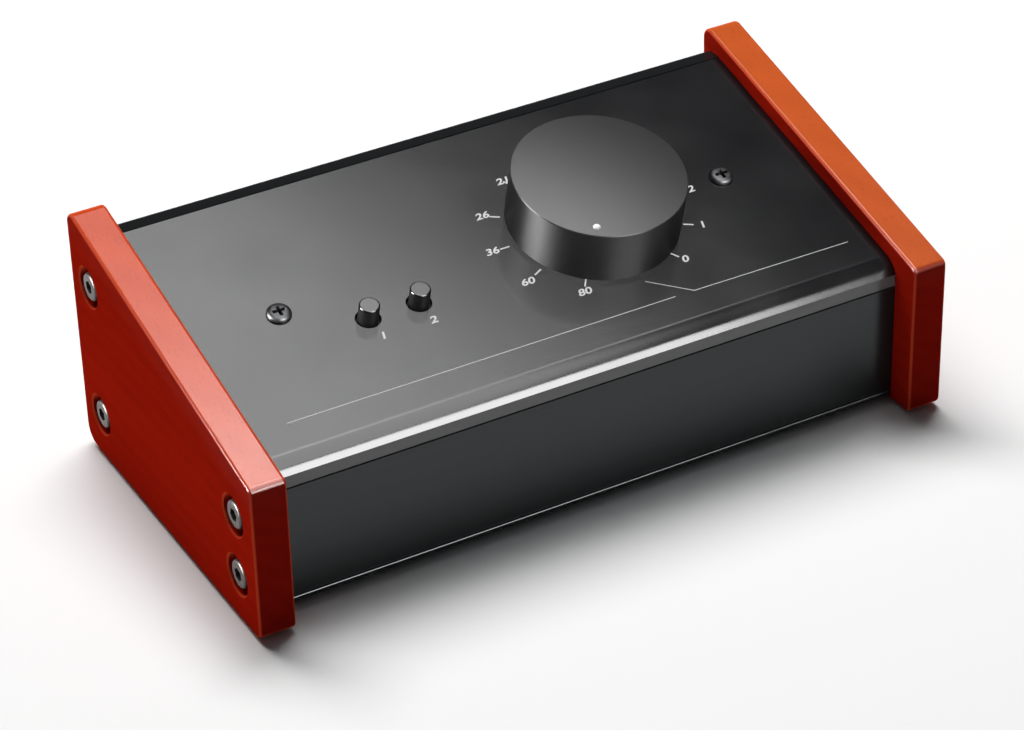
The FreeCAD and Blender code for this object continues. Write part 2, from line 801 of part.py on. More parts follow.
def panel_screws():
    """Two pan-head screws with a cross recess, heads on the panel."""
    body = new_body("pan_head_screw")
    section = new_sketch(body, "XZ_Plane")
    head, high, shank = "panel_head_dia / 2", "panel_head_high", "panel_core_dia / 2"
    tip = "-panel_screw_long"
    outline(section, [
        ("0", tip), (f"{shank} - 0.4", tip), (shank, f"{tip} + 0.8"), (shank, "0"),
        (head, "0"), (head, f"{high} * 0.35"), (f"{head} * 0.92", f"{high} * 0.65"),
        (f"{head} * 0.72", f"{high} * 0.88"), (f"{head} * 0.4", high), ("0", high)])
    revolve(body, section)
    cut_cross(body, "panel_head_high", "cross_long", "cross_wide", "cross_deep")
    copies("panel_screws", body,
           [lambda link, side=side: place_on_panel(link, f"{side} * panel_screw_x", "panel_screw_s")
            for side in (-1, 1)])


def cover_bracket(label, side):
    """Folded bracket: a foot on the floor, an upright web and a sloped lug with a rivet nut."""
    body = new_body(label)
    place(body, x=f"{side} * bracket_out")
    front, rear = "bracket_y - bracket_long / 2", "bracket_y + bracket_long / 2"

    def under(y, drop="0"):
        return f"panel_start + ({y} - front_plane) * tan(slope) - under_drop - ({drop}) / cos(slope)"

    web = new_sketch(body, "YZ_Plane")
    outline(web, [(front, "case_floor"), (rear, "case_floor"), (rear, under(rear)), (front, under(front))])
    pad(body, web, "bracket_wall", back=side > 0)
    foot = new_sketch(body, "YZ_Plane")
    rectangle(foot, front, rear, "case_floor", "case_floor + bracket_wall")
    pad(body, foot, "bracket_wide", back=side > 0)
    lug = new_sketch(body, "YZ_Plane")
    outline(lug, [(front, under(front, "bracket_wall")), (rear, under(rear, "bracket_wall")),
                  (rear, under(rear)), (front, under(front))])
    pad(body, lug, "bracket_wide", back=side > 0)
    holes = new_sketch(body, "XY_Plane", lift="case_floor + bracket_wall")
    for step in (-1, 1):
        circle(holes, f"-{side} * bracket_wide / 2", f"bracket_y + {step} * bracket_screw_pitch / 2",
               "fit_hole_dia")
    pocket(body, holes, "bracket_wall")
    return body


def bored_lug(label, side):
    """The bracket with its rivet nut, bored square to the sloped lug."""
    bracket = cover_bracket(f"{label}_sheet", side)
    nut = document.addObject("Part::Cylinder", f"{label}_nut")
    bind(nut, "Radius", "rivet_nut_dia / 2")
    bind(nut, "Height", "rivet_nut_long + bracket_wall")
    place_on_panel(nut, f"{side} * panel_screw_x", "panel_screw_s", "rivet_nut_foot")
    joined = document.addObject("Part::MultiFuse", f"{label}_joined")
    joined.Shapes = [bracket, nut]
    bore = document.addObject("Part::Cylinder", f"{label}_bore")
    bind(bore, "Radius", "panel_core_dia / 2 + screw_fit_gap")
    bind(bore, "Height", "rivet_nut_long + bracket_wall + 2")
    place_on_panel(bore, f"{side} * panel_screw_x", "panel_screw_s", "rivet_nut_foot - 1")
    piece = document.addObject("Part::Cut", label)
    piece.Label = label
    piece.Base = joined
    piece.Tool = bore
    return keep(piece)


# ------------------------------------------------------------------ knob and attenuator

def knob():
    """Turned knob: a plain drum with a recess for the nut and a bore for the shaft."""
    body = new_body("attenuation_knob")
    place_on_panel(body, "knob_x", "knob_s")
    section = new_sketch(body, "XZ_Plane")
    radius, top = "knob_dia / 2", "knob_top"
    bore = "shaft_hole_dia / 2"
    outline(section, [
        ("knob_recess_dia / 2", "knob_gap"), (f"{radius} - knob_bevel", "knob_gap"),
        (radius, "knob_gap + knob_bevel"), (radius, f"{top} - knob_bevel"),
        (f"{radius} - knob_bevel", top), ("0", top), ("0", "shaft_hole_top"),
        (bore, "shaft_hole_top"), (bore, "knob_ceiling"), ("knob_recess_dia / 2", "knob_ceiling")])
    revolve(body, section)
    dimple = new_sketch(body, "XY_Plane", lift=top)
    circle(dimple, "dot_reach * cos(dot_turn)", "dot_reach * sin(dot_turn)", "dot_dia")
    pocket(body, dimple, "dot_deep")
    channel = new_sketch(body, "XZ_Plane")
    circle(channel, "0", "set_screw_n", "set_screw_dia + 2 * set_screw_gap")
    pocket(body, channel, "knob_dia")
    return keep(body)


def pointer_dot():
    body = new_body("pointer_dot")
    place_on_panel(body, "knob_x", "knob_s")
    disc = new_sketch(body, "XY_Plane", lift="knob_top - dot_deep")
    circle(disc, "dot_reach * cos(dot_turn)", "dot_reach * sin(dot_turn)", "dot_dia")
    pad(body, disc, "dot_deep")
    return keep(body)


def knob_set_screw():
    """Grub screw up the slope from the shaft's flat, with its hexagon socket outwards."""
    body = new_body("knob_set_screw")
    place_on_panel(body, "knob_x", "knob_s")
    tip = new_sketch(body, "XZ_Plane", lift="-flat_reach")
    circle(tip, "0", "set_screw_n", "set_screw_dia")
    pad(body, tip, "set_screw_long", back=True)
    socket = new_sketch(body, "XZ_Plane", lift="-(flat_reach + set_screw_long)")
    reach = "set_socket_flats / (2 * cos(30))"
    outline(socket, [(f"{reach} * cos({60 * i})", f"set_screw_n + {reach} * sin({60 * i})")
                     for i in range(6)])
    pocket(body, socket, "set_socket_deep", back=True)
    return keep(body)


def attenuator_shaft():
    """Round spindle through the whole attenuator, with a flat for the set screw."""
    body = new_body("attenuator_shaft")
    place_on_panel(body, "knob_x", "knob_s")
    spindle = new_sketch(body, "XY_Plane", lift="attenuator_end")
    circle(spindle, "0", "0", "shaft_dia")
    pad(body, spindle, "shaft_top - attenuator_end")
    flat = new_sketch(body, "XY_Plane", lift="shaft_top")
    rectangle(flat, "-shaft_dia", "shaft_dia", "flat_reach", "shaft_dia")
    pocket(body, flat, "shaft_flat_long")
    return keep(body)


def rounded_square(body, level, width, corner, length):
    """A square block about the body's axis with rounded corners, standing on level."""
    block = new_sketch(body, "XY_Plane", lift=level)
    half, cut = f"({width}) / 2", f"(({width}) / 2 - {corner})"
    outline(block, [(f"-{cut}", f"-{half}"), (cut, f"-{half}"), (half, f"-{cut}"), (half, cut),
                    (cut, half), (f"-{cut}", half), (f"-{half}", cut), (f"-{half}", f"-{cut}")])
    return pad(body, block, length)


def attenuator_body():
    """Front plate, a stack of equal gangs on a narrower core, an end plate and the pins."""
    body = new_body("attenuator_body")
    place_on_panel(body, "knob_x", "knob_s")
    rounded_square(body, "bushing_foot", "gang_wide", "gang_round", "front_plate_thick")
    rounded_square(body, "gang_end", "core_wide", "gang_round", "gang_count * gang_pitch")
    gang = rounded_square(body, "bushing_foot - gang_pitch", "gang_wide", "gang_round", "gang_thick")
    pins = new_sketch(body, "XY_Plane", lift="bushing_foot - gang_pitch + gang_thick / 2")
    for step in (-1, 0, 1):
        rectangle(pins, f"{step} * pin_pitch - pin_wide / 2", f"{step} * pin_pitch + pin_wide / 2",
                  "-(gang_wide / 2 + pin_long)", "-(core_wide / 2)")
    row = pad(body, pins, "pin_thick")
    stack = body.newObject("PartDesign::LinearPattern", "gang_stack")
    stack.Originals = [gang, row]
    stack.Direction = (pins, ["N_Axis"])
    stack.Reversed = True
    bind(stack, "Length", "(gang_count - 1) * gang_pitch")
    bind(stack, "Occurrences", "gang_count")
    body.Tip = stack
    rounded_square(body, "attenuator_end", "gang_wide", "gang_round", "end_plate_thick")
    bore = new_sketch(body, "XY_Plane", lift="-cover_wall")
    circle(bore, "0", "0", "shaft_hole_dia")
    pocket(body, bore)
    seat = new_sketch(body, "XY_Plane", lift="-cover_wall")
    circle(seat, "0", "0", "bushing_dia")
    pocket(body, seat, "front_plate_thick")
    return keep(body)


def ring(label, placing, outer, inner, foot, height):
    """A plain ring about the piece's own Z axis."""
    body = new_body(label)
    placing(body)
    section = new_sketch(body, "XY_Plane", lift=foot)
    circle(section, "0", "0", outer)
    circle(section, "0", "0", inner)
    pad(body, section, height)
    return body


def on_knob_axis(thing):
    place_on_panel(thing, "knob_x", "knob_s")


def attenuator_fixings():
    """Threaded bushing through the panel, with the washer and nut that clamp it."""
    bushing = ring("attenuator_bushing", on_knob_axis, "bushing_dia", "shaft_hole_dia",
                   "bushing_foot", "bushing_high - bushing_foot")
    chamfer(bushing, "bushing_bevel", edges_at(bushing, [("bushing_dia / 2", "0", "bushing_high")]))
    keep(bushing)
    keep(ring("bushing_washer", on_knob_axis, "washer_dia", "bushing_dia + 2 * nut_bore_gap",
              "0", "washer_thick"))
    keep(hex_nut("bushing_nut", on_knob_axis, "nut_flats", "bushing_dia + 2 * nut_bore_gap",
                 "washer_thick", "nut_thick"))


def hex_nut(label, placing, flats, bore, foot, thick):
    body = new_body(label)
    placing(body)
    block = new_sketch(body, "XY_Plane", lift=foot)
    hexagon(block, flats)
    pad(body, block, thick)
    hole = new_sketch(body, "XY_Plane", lift=f"{foot} + {thick}")
    circle(hole, "0", "0", bore)
    pocket(body, hole, thick)
    return body


# ------------------------------------------------------------------ push buttons

def button_cap(label, x):
    """Moulded cap: a round stem with a softened top and a hidden flange under the panel."""
    body = new_body(label)
    place_on_panel(body, x, "button_s")
    section = new_sketch(body, "XZ_Plane")
    stem, flange = "cap_dia / 2", "cap_flange_dia / 2"
    outline(section, [("0", "cap_foot"), (flange, "cap_foot"), (flange, "flange_n"),
                      (stem, "flange_n"), (stem, "cap_high"), ("0", "cap_high")])
    revolve(body, section)
    fillet(body, "cap_round", edges_level(body, "Z", "cap_high"))
    socket = new_sketch(body, "XY_Plane", lift="cap_foot")
    half = "(plunger_wide / 2 + plunger_gap / 2)"
    rectangle(socket, f"-{half}", half, f"-{half}", half)
    pocket(body, socket, "cap_socket_deep", back=True)
    return keep(body)


def switch_plunger(label, x):
    body = new_body(label)
    place_on_panel(body, x, "button_s")
    rod = new_sketch(body, "XY_Plane", lift="plunger_foot")
    half = "plunger_wide / 2"
    rectangle(rod, f"-{half}", half, f"-{half}", half)
    pad(body, rod, "plunger_head - plunger_foot")
    return keep(body)


def switch_body(label, x):
    """Square switch housing with the well that its plunger slides in."""
    body = new_body(label)
    place_on_panel(body, x, "button_s")
    block = new_sketch(body, "XY_Plane", lift="switch_foot")
    half = "switch_wide / 2"
    rectangle(block, f"-{half}", half, f"-{half}", half)
    pad(body, block, "switch_high")
    well = new_sketch(body, "XY_Plane", lift="switch_top")
    mouth = "(plunger_wide / 2 + plunger_gap)"
    rectangle(well, f"-{mouth}", mouth, f"-{mouth}", mouth)
    pocket(body, well, "switch_high - switch_floor")
    return keep(body)


def push_buttons():
    for name, x in (("mono", "mono_x"), ("mute", "mute_x")):
        button_cap(f"{name}_button_cap", x)
        switch_plunger(f"{name}_switch_plunger", x)
        switch_body(f"{name}_switch_body", x)


def switch_board():
    """Board under both switches, hung from the panel on two spacers by small screws."""
    body = new_body("switch_board")
    place_on_panel(body, "switch_board_x", "button_s")
    plate = new_sketch(body, "XY_Plane", lift="switch_foot")
    rectangle(plate, "-switch_board_wide / 2", "switch_board_wide / 2",
              "-switch_board_long / 2", "switch_board_long / 2")
    for side in (-1, 1):
        circle(plate, f"{side} * switch_spacer_x", "0", "small_core_dia + 2 * screw_pass_gap")
    pad(body, plate, "board_thick", back=True)
    keep(body)
    spacer = new_body("switch_spacer")
    tube = new_sketch(spacer, "XY_Plane")
    circle(tube, "0", "0", "spacer_dia")
    pad(spacer, tube, "-cover_wall - switch_foot")
    bore = new_sketch(spacer, "XY_Plane")
    circle(bore, "0", "0", "small_core_dia + 2 * screw_fit_gap")
    pocket(spacer, bore, "small_screw_long", back=True)
    screw = cheese_head_screw("small_screw", "small_head_dia", "small_core_dia")
    at = [f"switch_board_x + {side} * switch_spacer_x" for side in (-1, 1)]
    copies("switch_board_spacers", spacer,
           [lambda link, x=x: place_on_panel(link, x, "button_s", "switch_foot") for x in at])
    copies("switch_board_screws", screw,
           [lambda link, x=x: place_under_board(link, x, "button_s", "switch_board_foot")
            for x in at])


def cheese_head_screw(label, head, core):
    """A small screw that points down from z = 0, with a low head above it."""
    body = new_body(label)
    section = new_sketch(body, "XZ_Plane")
    outline(section, [
        ("0", "-small_screw_long"), (f"{core} / 2", "-small_screw_long"), (f"{core} / 2", "0"),
        (f"{head} / 2", "0"), (f"{head} / 2", "small_head_high * 0.5"),
        (f"{head} * 0.3", "small_head_high"), ("0", "small_head_high")])
    revolve(body, section)
    return body


def place_under_board(thing, x, s, n):
    """Hang a piece from the switch board, its own Z pointing down into the case."""
    place_on_panel(thing, x, s, n)
    bind(thing, "Placement.Rotation.Angle", "slope + 180 deg")


# ------------------------------------------------------------------ main board

def main_board():
    """Board over the rear of the floor, on the rear port and four hexagon spacers."""
    body = new_body("main_board")
    plate = new_sketch(body, "XY_Plane", lift="main_board_foot")
    rectangle(plate, "-main_board_wide / 2", "main_board_wide / 2",
              "main_board_front", "main_board_rear")
    for x, y in main_spacer_spots():
        circle(plate, x, y, "pass_hole_dia")
    pad(body, plate, "board_thick")
    keep(body)
    spacer = new_body("hexagon_spacer")
    post = new_sketch(spacer, "XY_Plane", lift="case_floor")
    hexagon(post, "main_spacer_flats")
    pad(spacer, post, "main_board_foot - case_floor")
    bore = new_sketch(spacer, "XY_Plane", lift="case_floor")
    circle(bore, "0", "0", "fit_hole_dia")
    pocket(spacer, bore, "main_board_foot - case_floor", back=True)
    spots = main_spacer_spots()
    copies("board_spacers", spacer, [lambda link, x=x, y=y: place(link, x, y) for x, y in spots])
    screw = cheese_head_screw("board_screw", "board_head_dia", "screw_core_dia")
    copies("board_screws", screw,
           [lambda link, x=x, y=y: place(link, x, y, "main_board_top") for x, y in spots])


def ribbon_cable():
    """Flat cable folded in a Z between a connector under the switch board and one on the main."""
    plug = new_body("ribbon_connector")
    block = new_sketch(plug, "XY_Plane")
    rectangle(block, "-connector_wide / 2", "connector_wide / 2",
              "-connector_deep / 2", "connector_deep / 2")
    pad(plug, block, "connector_high")
    notch = new_sketch(plug, "XY_Plane", lift="connector_high")
    rectangle(notch, "-connector_notch", "connector_notch", "connector_deep / 2 - connector_notch",
              "connector_deep / 2")
    pocket(plug, notch, "connector_high - connector_notch")
    copies("ribbon_connectors", plug, [
        lambda link: place_under_board(link, "switch_board_x", "button_s", "switch_board_foot"),
        lambda link: place(link, "switch_board_x", "main_spacer_y", "main_board_top")])
    body = new_body("ribbon_cable")
    place(body, x="switch_board_x")
    profile = new_sketch(body, "YZ_Plane")
    half, head, foot = "ribbon_thick / 2", "ribbon_head_y", "main_spacer_y"
    top, upper = "ribbon_head - ribbon_gap", "ribbon_head - ribbon_drop"
    lower = "ribbon_foot + ribbon_drop"
    outline(profile, [
        (f"{head} + {half}", top), (f"{head} + {half}", f"{upper} + {half}"),
        (f"{foot} + {half}", f"{lower} + {half}"), (f"{foot} + {half}", "ribbon_foot"),
        (f"{foot} - {half}", "ribbon_foot"), (f"{foot} - {half}", f"{lower} - {half}"),
        (f"{head} - {half}", f"{upper} - {half}"), (f"{head} - {half}", top)])
    pad(body, profile, "ribbon_wide", both=True)
    inner = [("0", f"{head} + {half}", f"{upper} + {half}"),
             ("0", f"{foot} - {half}", f"{lower} - {half}")]
    outer = [("0", f"{head} - {half}", f"{upper} - {half}"),
             ("0", f"{foot} + {half}", f"{lower} + {half}")]
    fillet(body, "ribbon_inner_bend", edges_at(body, inner))
    fillet(body, "ribbon_inner_bend + ribbon_thick", edges_at(body, outer))
    keep(body)


# ------------------------------------------------------------------ rear sockets

def input_socket(label, x):
    """Combination socket: square flange, round barrel, ring slot and insert with a jack bore."""
    body = new_body(label)
    place_on_rear(body, x, "input_high")
    flange = new_sketch(body, "XY_Plane")
    rectangle(flange, "-flange_wide / 2", "flange_wide / 2", "-flange_high / 2", "flange_high / 2")
    pad(body, flange, "flange_thick")
    corners = [(f"{i} * flange_wide / 2", f"{j} * flange_high / 2", "flange_thick / 2")
               for i in (-1, 1) for j in (-1, 1)]
    fillet(body, "flange_round", edges_at(body, corners))
    barrel = new_sketch(body, "XY_Plane")
    circle(barrel, "0", "0", "barrel_dia")
    pad(body, barrel, "barrel_long", back=True)
    slot = new_sketch(body, "XY_Plane", lift="flange_thick")
    circle(slot, "0", "0", "mouth_dia")
    circle(slot, "0", "0", "insert_dia")
    pocket(body, slot, "mouth_deep")
    face = new_sketch(body, "XY_Plane", lift="flange_thick")
    circle(face, "0", "0", "insert_dia")
    pocket(body, face, "insert_sink")
    bore = new_sketch(body, "XY_Plane", lift="flange_thick - insert_sink")
    circle(bore, "0", "0", "plug_bore_dia")
    pocket(body, bore, "plug_bore_deep")
    contacts = new_sketch(body, "XY_Plane", lift="flange_thick - insert_sink")
    for turn in (30, 150, 270):
        circle(contacts, f"contact_reach * cos({turn})", f"contact_reach * sin({turn})", "contact_dia")
    pocket(body, contacts, "contact_deep")
    screw_holes = new_sketch(body, "XY_Plane", lift="flange_thick")
    sinks = new_sketch(body, "XY_Plane", lift="flange_thick")
    for side in (-1, 1):
        circle(screw_holes, f"-{side} * flange_screw_x", f"{side} * flange_screw_z", "fit_hole_dia")
        circle(sinks, f"-{side} * flange_screw_x", f"{side} * flange_screw_z", "flange_sink_dia")
    pocket(body, screw_holes, "flange_thick")
    cut = pocket(body, sinks, "flange_sink_deep")
    cut.TaperAngle = -45
    return keep(body)


def input_sockets():
    centres = (("input_socket_left", "input_left_x"), ("input_socket_right", "input_right_x"))
    spots = []
    for label, x in centres:
        input_socket(label, x)
        for side in (-1, 1):
            spots.append((f"{x} + {side} * flange_screw_x", f"input_high + {side} * flange_screw_z"))
    screw = countersunk_screw("flange_screw", "flange_sink_dia", "flange_screw_long")
    copies("input_socket_screws", screw,
           [lambda link, x=x, z=z: place_on_rear(link, x, z, "flange_thick - sunk_head_sink")
            for x, z in spots])


def jack(label, x, z, names):
    """Board-mounted jack: a box behind the wall and a bored bushing through it."""
    wide, high, long, bushing, bushing_high, bore, depth = names
    body = new_body(label)
    place_on_rear(body, x, z)
    block = new_sketch(body, "XY_Plane", lift="-case_wall")
    rectangle(block, f"-{wide} / 2", f"{wide} / 2", f"-{high} / 2", f"{high} / 2")
    pad(body, block, long, back=True)
    neck = new_sketch(body, "XY_Plane", lift="-case_wall")
    circle(neck, "0", "0", bushing)
    pad(body, neck, f"case_wall + {bushing_high}")
    hole = new_sketch(body, "XY_Plane", lift=bushing_high)
    circle(hole, "0", "0", bore)
    pocket(body, hole, depth)
    return keep(body)


def output_jacks():
    names = ("jack_wide", "jack_high", "jack_long", "jack_bushing_dia", "jack_bushing_high",
             "plug_bore_dia", "jack_bore_deep")
    for label, x in (("output_jack_left", "output_left_x"), ("output_jack_right", "output_right_x")):
        jack(label, x, "jack_z", names)
    nut = hex_nut("output_nut", lambda thing: None, "jack_nut_flats",
                  "jack_bushing_dia + 2 * nut_bore_gap", "0", "jack_nut_thick")
    copies("output_jack_nuts", nut,
           [lambda link, x=x: place_on_rear(link, x, "jack_z")
            for x in ("output_left_x", "output_right_x")])


def mini_jacks():
    names = ("mini_wide", "mini_high", "mini_long", "mini_bushing_dia", "mini_bushing_high",
             "mini_bore_dia", "mini_bore_deep")
    for label, x in (("mini_input_jack", "mini_in_x"), ("mini_output_jack", "mini_out_x")):
        jack(label, x, "mini_z", names)
    nut = ring("mini_nut", lambda thing: None, "mini_nut_dia",
               "mini_bushing_dia + 2 * nut_bore_gap", "0", "mini_nut_thick")
    copies("mini_jack_nuts", nut,
           [lambda link, x=x: place_on_rear(link, x, "mini_z") for x in ("mini_in_x", "mini_out_x")])


# ------------------------------------------------------------------ feet

def rubber_feet():
    foot = new_body("rubber_foot")
    disc = new_sketch(foot, "XY_Plane")
    circle(disc, "0", "0", "foot_dia")
    pad(foot, disc, "case_bottom")
    fillet(foot, "foot_round", edges_level(foot, "Z", "0"))
    spots = [(f"{side} * foot_x", y) for side in (-1, 1) for y in ("foot_front_y", "foot_rear_y")]
    copies("rubber_feet", foot, [lambda link, x=x, y=y: place(link, x, y) for x, y in spots])


# ------------------------------------------------------------------ build, check and write

def build():
    fill_sheet()
    cheek("left_cheek", -1)
    cheek("right_cheek", 1)
    cheek_screws()
    lower_case()
    rear_panel()
    floor_screws()
    top_cover()
    panel_screws()
    bored_lug("cover_bracket_left", -1)
    bored_lug("cover_bracket_right", 1)
    knob()
    pointer_dot()
    knob_set_screw()
    attenuator_shaft()
    attenuator_body()
    attenuator_fixings()
    push_buttons()
    switch_board()
    main_board()
    ribbon_cable()
    input_sockets()
    output_jacks()
    mini_jacks()
    rubber_feet()
    document.recompute()


def check():
    """Stop with a plain message if any object failed or any piece has no sound shape."""
    for thing in document.Objects:
        if "Invalid" in thing.State or "Error" in thing.State:
            raise RuntimeError(f"{thing.Label} did not build: {thing.State}")
    for part in parts:
        shape = part.Shape
        if shape.isNull() or not shape.isValid() or not shape.Solids:
            raise RuntimeError(f"{part.Label} has no sound shape")


def write():
    os.makedirs("parts", exist_ok=True)
    for part in parts:
        part.Shape.exportStep(os.path.join("parts", f"{part.Label}.step"))
        box = part.Shape.BoundBox
        size = f"{box.XLength:.1f} x {box.YLength:.1f} x {box.ZLength:.1f}"
        print(f"{part.Label}: {len(part.Shape.Solids)} solid(s), {size} mm")


build()
check()
write()
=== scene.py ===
import math

import bmesh
import bpy
from mathutils import Matrix, Vector


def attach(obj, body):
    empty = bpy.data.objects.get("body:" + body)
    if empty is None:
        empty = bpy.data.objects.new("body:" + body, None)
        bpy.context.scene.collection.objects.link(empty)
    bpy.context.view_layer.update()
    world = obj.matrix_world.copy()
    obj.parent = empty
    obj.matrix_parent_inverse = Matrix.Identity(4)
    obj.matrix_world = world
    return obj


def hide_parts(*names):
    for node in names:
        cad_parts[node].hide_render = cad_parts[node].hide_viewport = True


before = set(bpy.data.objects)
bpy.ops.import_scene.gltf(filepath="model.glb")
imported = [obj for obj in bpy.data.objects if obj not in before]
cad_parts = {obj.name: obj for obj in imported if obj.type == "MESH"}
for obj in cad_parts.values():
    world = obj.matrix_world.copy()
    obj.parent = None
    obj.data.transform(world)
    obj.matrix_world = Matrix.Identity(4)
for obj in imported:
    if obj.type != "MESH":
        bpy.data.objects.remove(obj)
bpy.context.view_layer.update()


# ---------------------------------------------------------------- product table and studio lights
# The controller stands on a pale matt table under a large level softbox, which lights only matt
# colour. Flat cards light only gloss: two in one place for the sloped panel, one each for the
# front, the crown of the knob and the left cheek. The camera looks down from the front left.


def new_material(name):
    """A new material, with its node tree, its one shader and the coordinates of the piece."""
    material = bpy.data.materials.new(name)
    material.use_nodes = True
    tree = material.node_tree
    return material, tree, tree.nodes["Principled BSDF"], tree.nodes.new("ShaderNodeTexCoord")


def feed(tree, node, feeds):
    """Feed sockets of a node, each with a plain value or from another socket; None leaves it."""
    for name, value in feeds.items():
        if isinstance(value, bpy.types.NodeSocket):
            tree.links.new(value, node.inputs[name])
        elif value is not None:
            node.inputs[name].default_value = value


def add_node(tree, kind, feeds=None, **settings):
    """One node with its plain settings and its sockets fed."""
    made = tree.nodes.new(kind)
    for name, setting in settings.items():
        setattr(made, name, setting)
    feed(tree, made, feeds or {})
    return made


def add_light(name, pose, wide, long, power):
    """A rectangular light that shines down its own -Z; sizes in metres, power in watts."""
    lamp = bpy.data.lights.new(name, "AREA")
    lamp.shape = "RECTANGLE"
    lamp.size, lamp.size_y, lamp.energy = wide, long, power
    light = bpy.data.objects.new(name, lamp)
    bpy.context.scene.collection.objects.link(light)
    light.matrix_world = pose
    return light


def aimed(place, target):
    """The pose of a light that stands at place and faces target."""
    facing = (Vector(target) - Vector(place)).to_track_quat("-Z", "Y").to_matrix().to_4x4()
    return Matrix.Translation(place) @ facing


TABLE_HALF = 6
table_material, tree, shader, spots = new_material("pale table")
cloud = add_node(tree, "ShaderNodeTexNoise", {"Vector": spots.outputs["Object"], "Scale": 3.0})
tone = add_node(tree, "ShaderNodeMix", {
    "Factor": cloud.outputs["Fac"], "A": (0.795, 0.795, 0.795, 1), "B": (0.805, 0.805, 0.80, 1)},
    data_type="RGBA")
feed(tree, shader, {
    "Base Color": tone.outputs["Result"], "Roughness": 0.9, "Specular IOR Level": 0.0})

table_mesh = bpy.data.meshes.new("table")
corners = [(x * TABLE_HALF, y * TABLE_HALF, 0) for x, y in ((-1, -1), (1, -1), (1, 1), (-1, 1))]
table_mesh.from_pydata(corners, [], [(0, 1, 2, 3)])
table_mesh.materials.append(table_material)
table = bpy.data.objects.new("table", table_mesh)
bpy.context.scene.collection.objects.link(table)


# What hangs overhead is square to a line across it and a line along it, seen from above.
ACROSS_WAY = Vector((0.76, 0.65, 0))
ALONG_WAY = Vector((-0.65, 0.76, 0))
OVERHEAD_HEIGHT = 2.4


def overhead(name, across, along, power):
    """A level light that spans the given reach across and along, in metres from the product."""
    middle = (ACROSS_WAY * sum(across) + ALONG_WAY * sum(along)) / 2
    middle.z = OVERHEAD_HEIGHT
    turn = Matrix.Rotation(math.atan2(ACROSS_WAY.y, ACROSS_WAY.x), 4, "Z")
    return add_light(name, Matrix.Translation(middle) @ turn, across[1] - across[0],
                     along[1] - along[0], power)


softbox = overhead("overhead_softbox", (0.28, 1.37), (-0.25, 2.3), 120)
softbox.visible_glossy = False

# The card that the panel mirrors is two lights in one place, so that the stronger one can pass by
# the knob and the caps. Its far edge ends the gloss of the panel, and is turned about a pivot.
CARD_ACROSS, CARD_ALONG = (0.69, 1.585), (-0.375, 0.7)
CARD_TURN = -0.162
panel_card = overhead("panel_card", CARD_ACROSS, CARD_ALONG, 4.7)
open_panel_card = overhead("open_panel_card", CARD_ACROSS, CARD_ALONG, 15.9)
pivot = ACROSS_WAY * CARD_ACROSS[1] + ALONG_WAY * 0.1
for card in (panel_card, open_panel_card):
    card.matrix_world = (Matrix.Translation(pivot) @ Matrix.Rotation(CARD_TURN, 4, "Z")
                         @ Matrix.Translation(-pivot) @ card.matrix_world)
front_card = add_light("front_card", aimed((0.205, -0.83, 0.41), (0.205, 0, 0.05)), 0.62, 0.50, 25)
crown_card = add_light("crown_card", aimed((0.15, -0.334, 1.095), (0.15, -0.043, 0.045)), 0.77,
                       1.22, 20.5)
side_card = add_light("side_card", aimed((-1.15, 0.30, 0.42), (0.02, 0, 0.06)), 0.55, 0.75, 120)
for card in (panel_card, open_panel_card, front_card, crown_card, side_card):
    card.visible_diffuse = False


world = bpy.data.worlds.new("studio")
world.use_nodes = True
room = world.node_tree.nodes["Background"]
room.inputs["Color"].default_value = (0.9, 0.95, 1.0, 1)
room.inputs["Strength"].default_value = 0.05
bpy.context.scene.world = world
bpy.context.scene.view_settings.view_transform = "Standard"
bpy.context.scene.view_settings.look = "None"

# The camera's place in metres, and in degrees how far it is tipped up from straight down, rolled
# and turned about the vertical.
CAMERA_PLACE = (-0.36763, -0.67197, 0.51802)
CAMERA_TURN = (56.878, 1.247, -29.4597)
camera = bpy.data.objects.new("camera", bpy.data.cameras.new("camera"))
camera.data.lens = 122.93
camera.data.clip_start, camera.data.clip_end = 0.05, 20
camera.location = CAMERA_PLACE
camera.rotation_euler = [math.radians(turn) for turn in CAMERA_TURN]
bpy.context.scene.collection.objects.link(camera)
bpy.context.scene.camera = camera


# ---------------------------------------------------------------- lower case and rear panel
# Two aluminium extrusions, clamped end to end between the cheeks: a tray with the front wall
# and a wall for the sockets. Both are etched and anodised dark grey, with faint die lines.


def new_group(name, inputs, outputs, family="ShaderNodeTree"):
    """An empty node group, from the kinds of its named inputs and outputs."""
    group = bpy.data.node_groups.new(name, family)
    for way, sockets in (("INPUT", inputs), ("OUTPUT", outputs)):
        for label, kind in sockets.items():
            group.interface.new_socket(label, in_out=way, socket_type=f"NodeSocket{kind}")
    return group, group.nodes.new("NodeGroupInput"), group.nodes.new("NodeGroupOutput")


def use_group(tree, group, feeds):
    return add_node(tree, "ShaderNodeGroup", feeds, node_tree=group)


def math_node(tree, operation, a, b=None, clamp=False):
    made = add_node(tree, "ShaderNodeMath", {0: a, 1: b}, operation=operation, use_clamp=clamp)
    return made.outputs[0]


def map_range(tree, value, low, high, to_low=0.0, to_high=1.0):
    made = add_node(tree, "ShaderNodeMapRange", {
        "Value": value, "From Min": low, "From Max": high, "To Min": to_low, "To Max": to_high})
    return made.outputs["Result"]


def blend_colour(tree, mask, dark, light):
    dark, light = [tone if isinstance(tone, bpy.types.NodeSocket) else (*tone, 1)
                   for tone in (dark, light)]
    made = add_node(tree, "ShaderNodeMix", {0: mask, 6: dark, 7: light}, data_type="RGBA")
    return made.outputs[2]


def bump(tree, height, distance):
    made = add_node(tree, "ShaderNodeBump", {"Height": height, "Distance": distance})
    return made.outputs["Normal"]


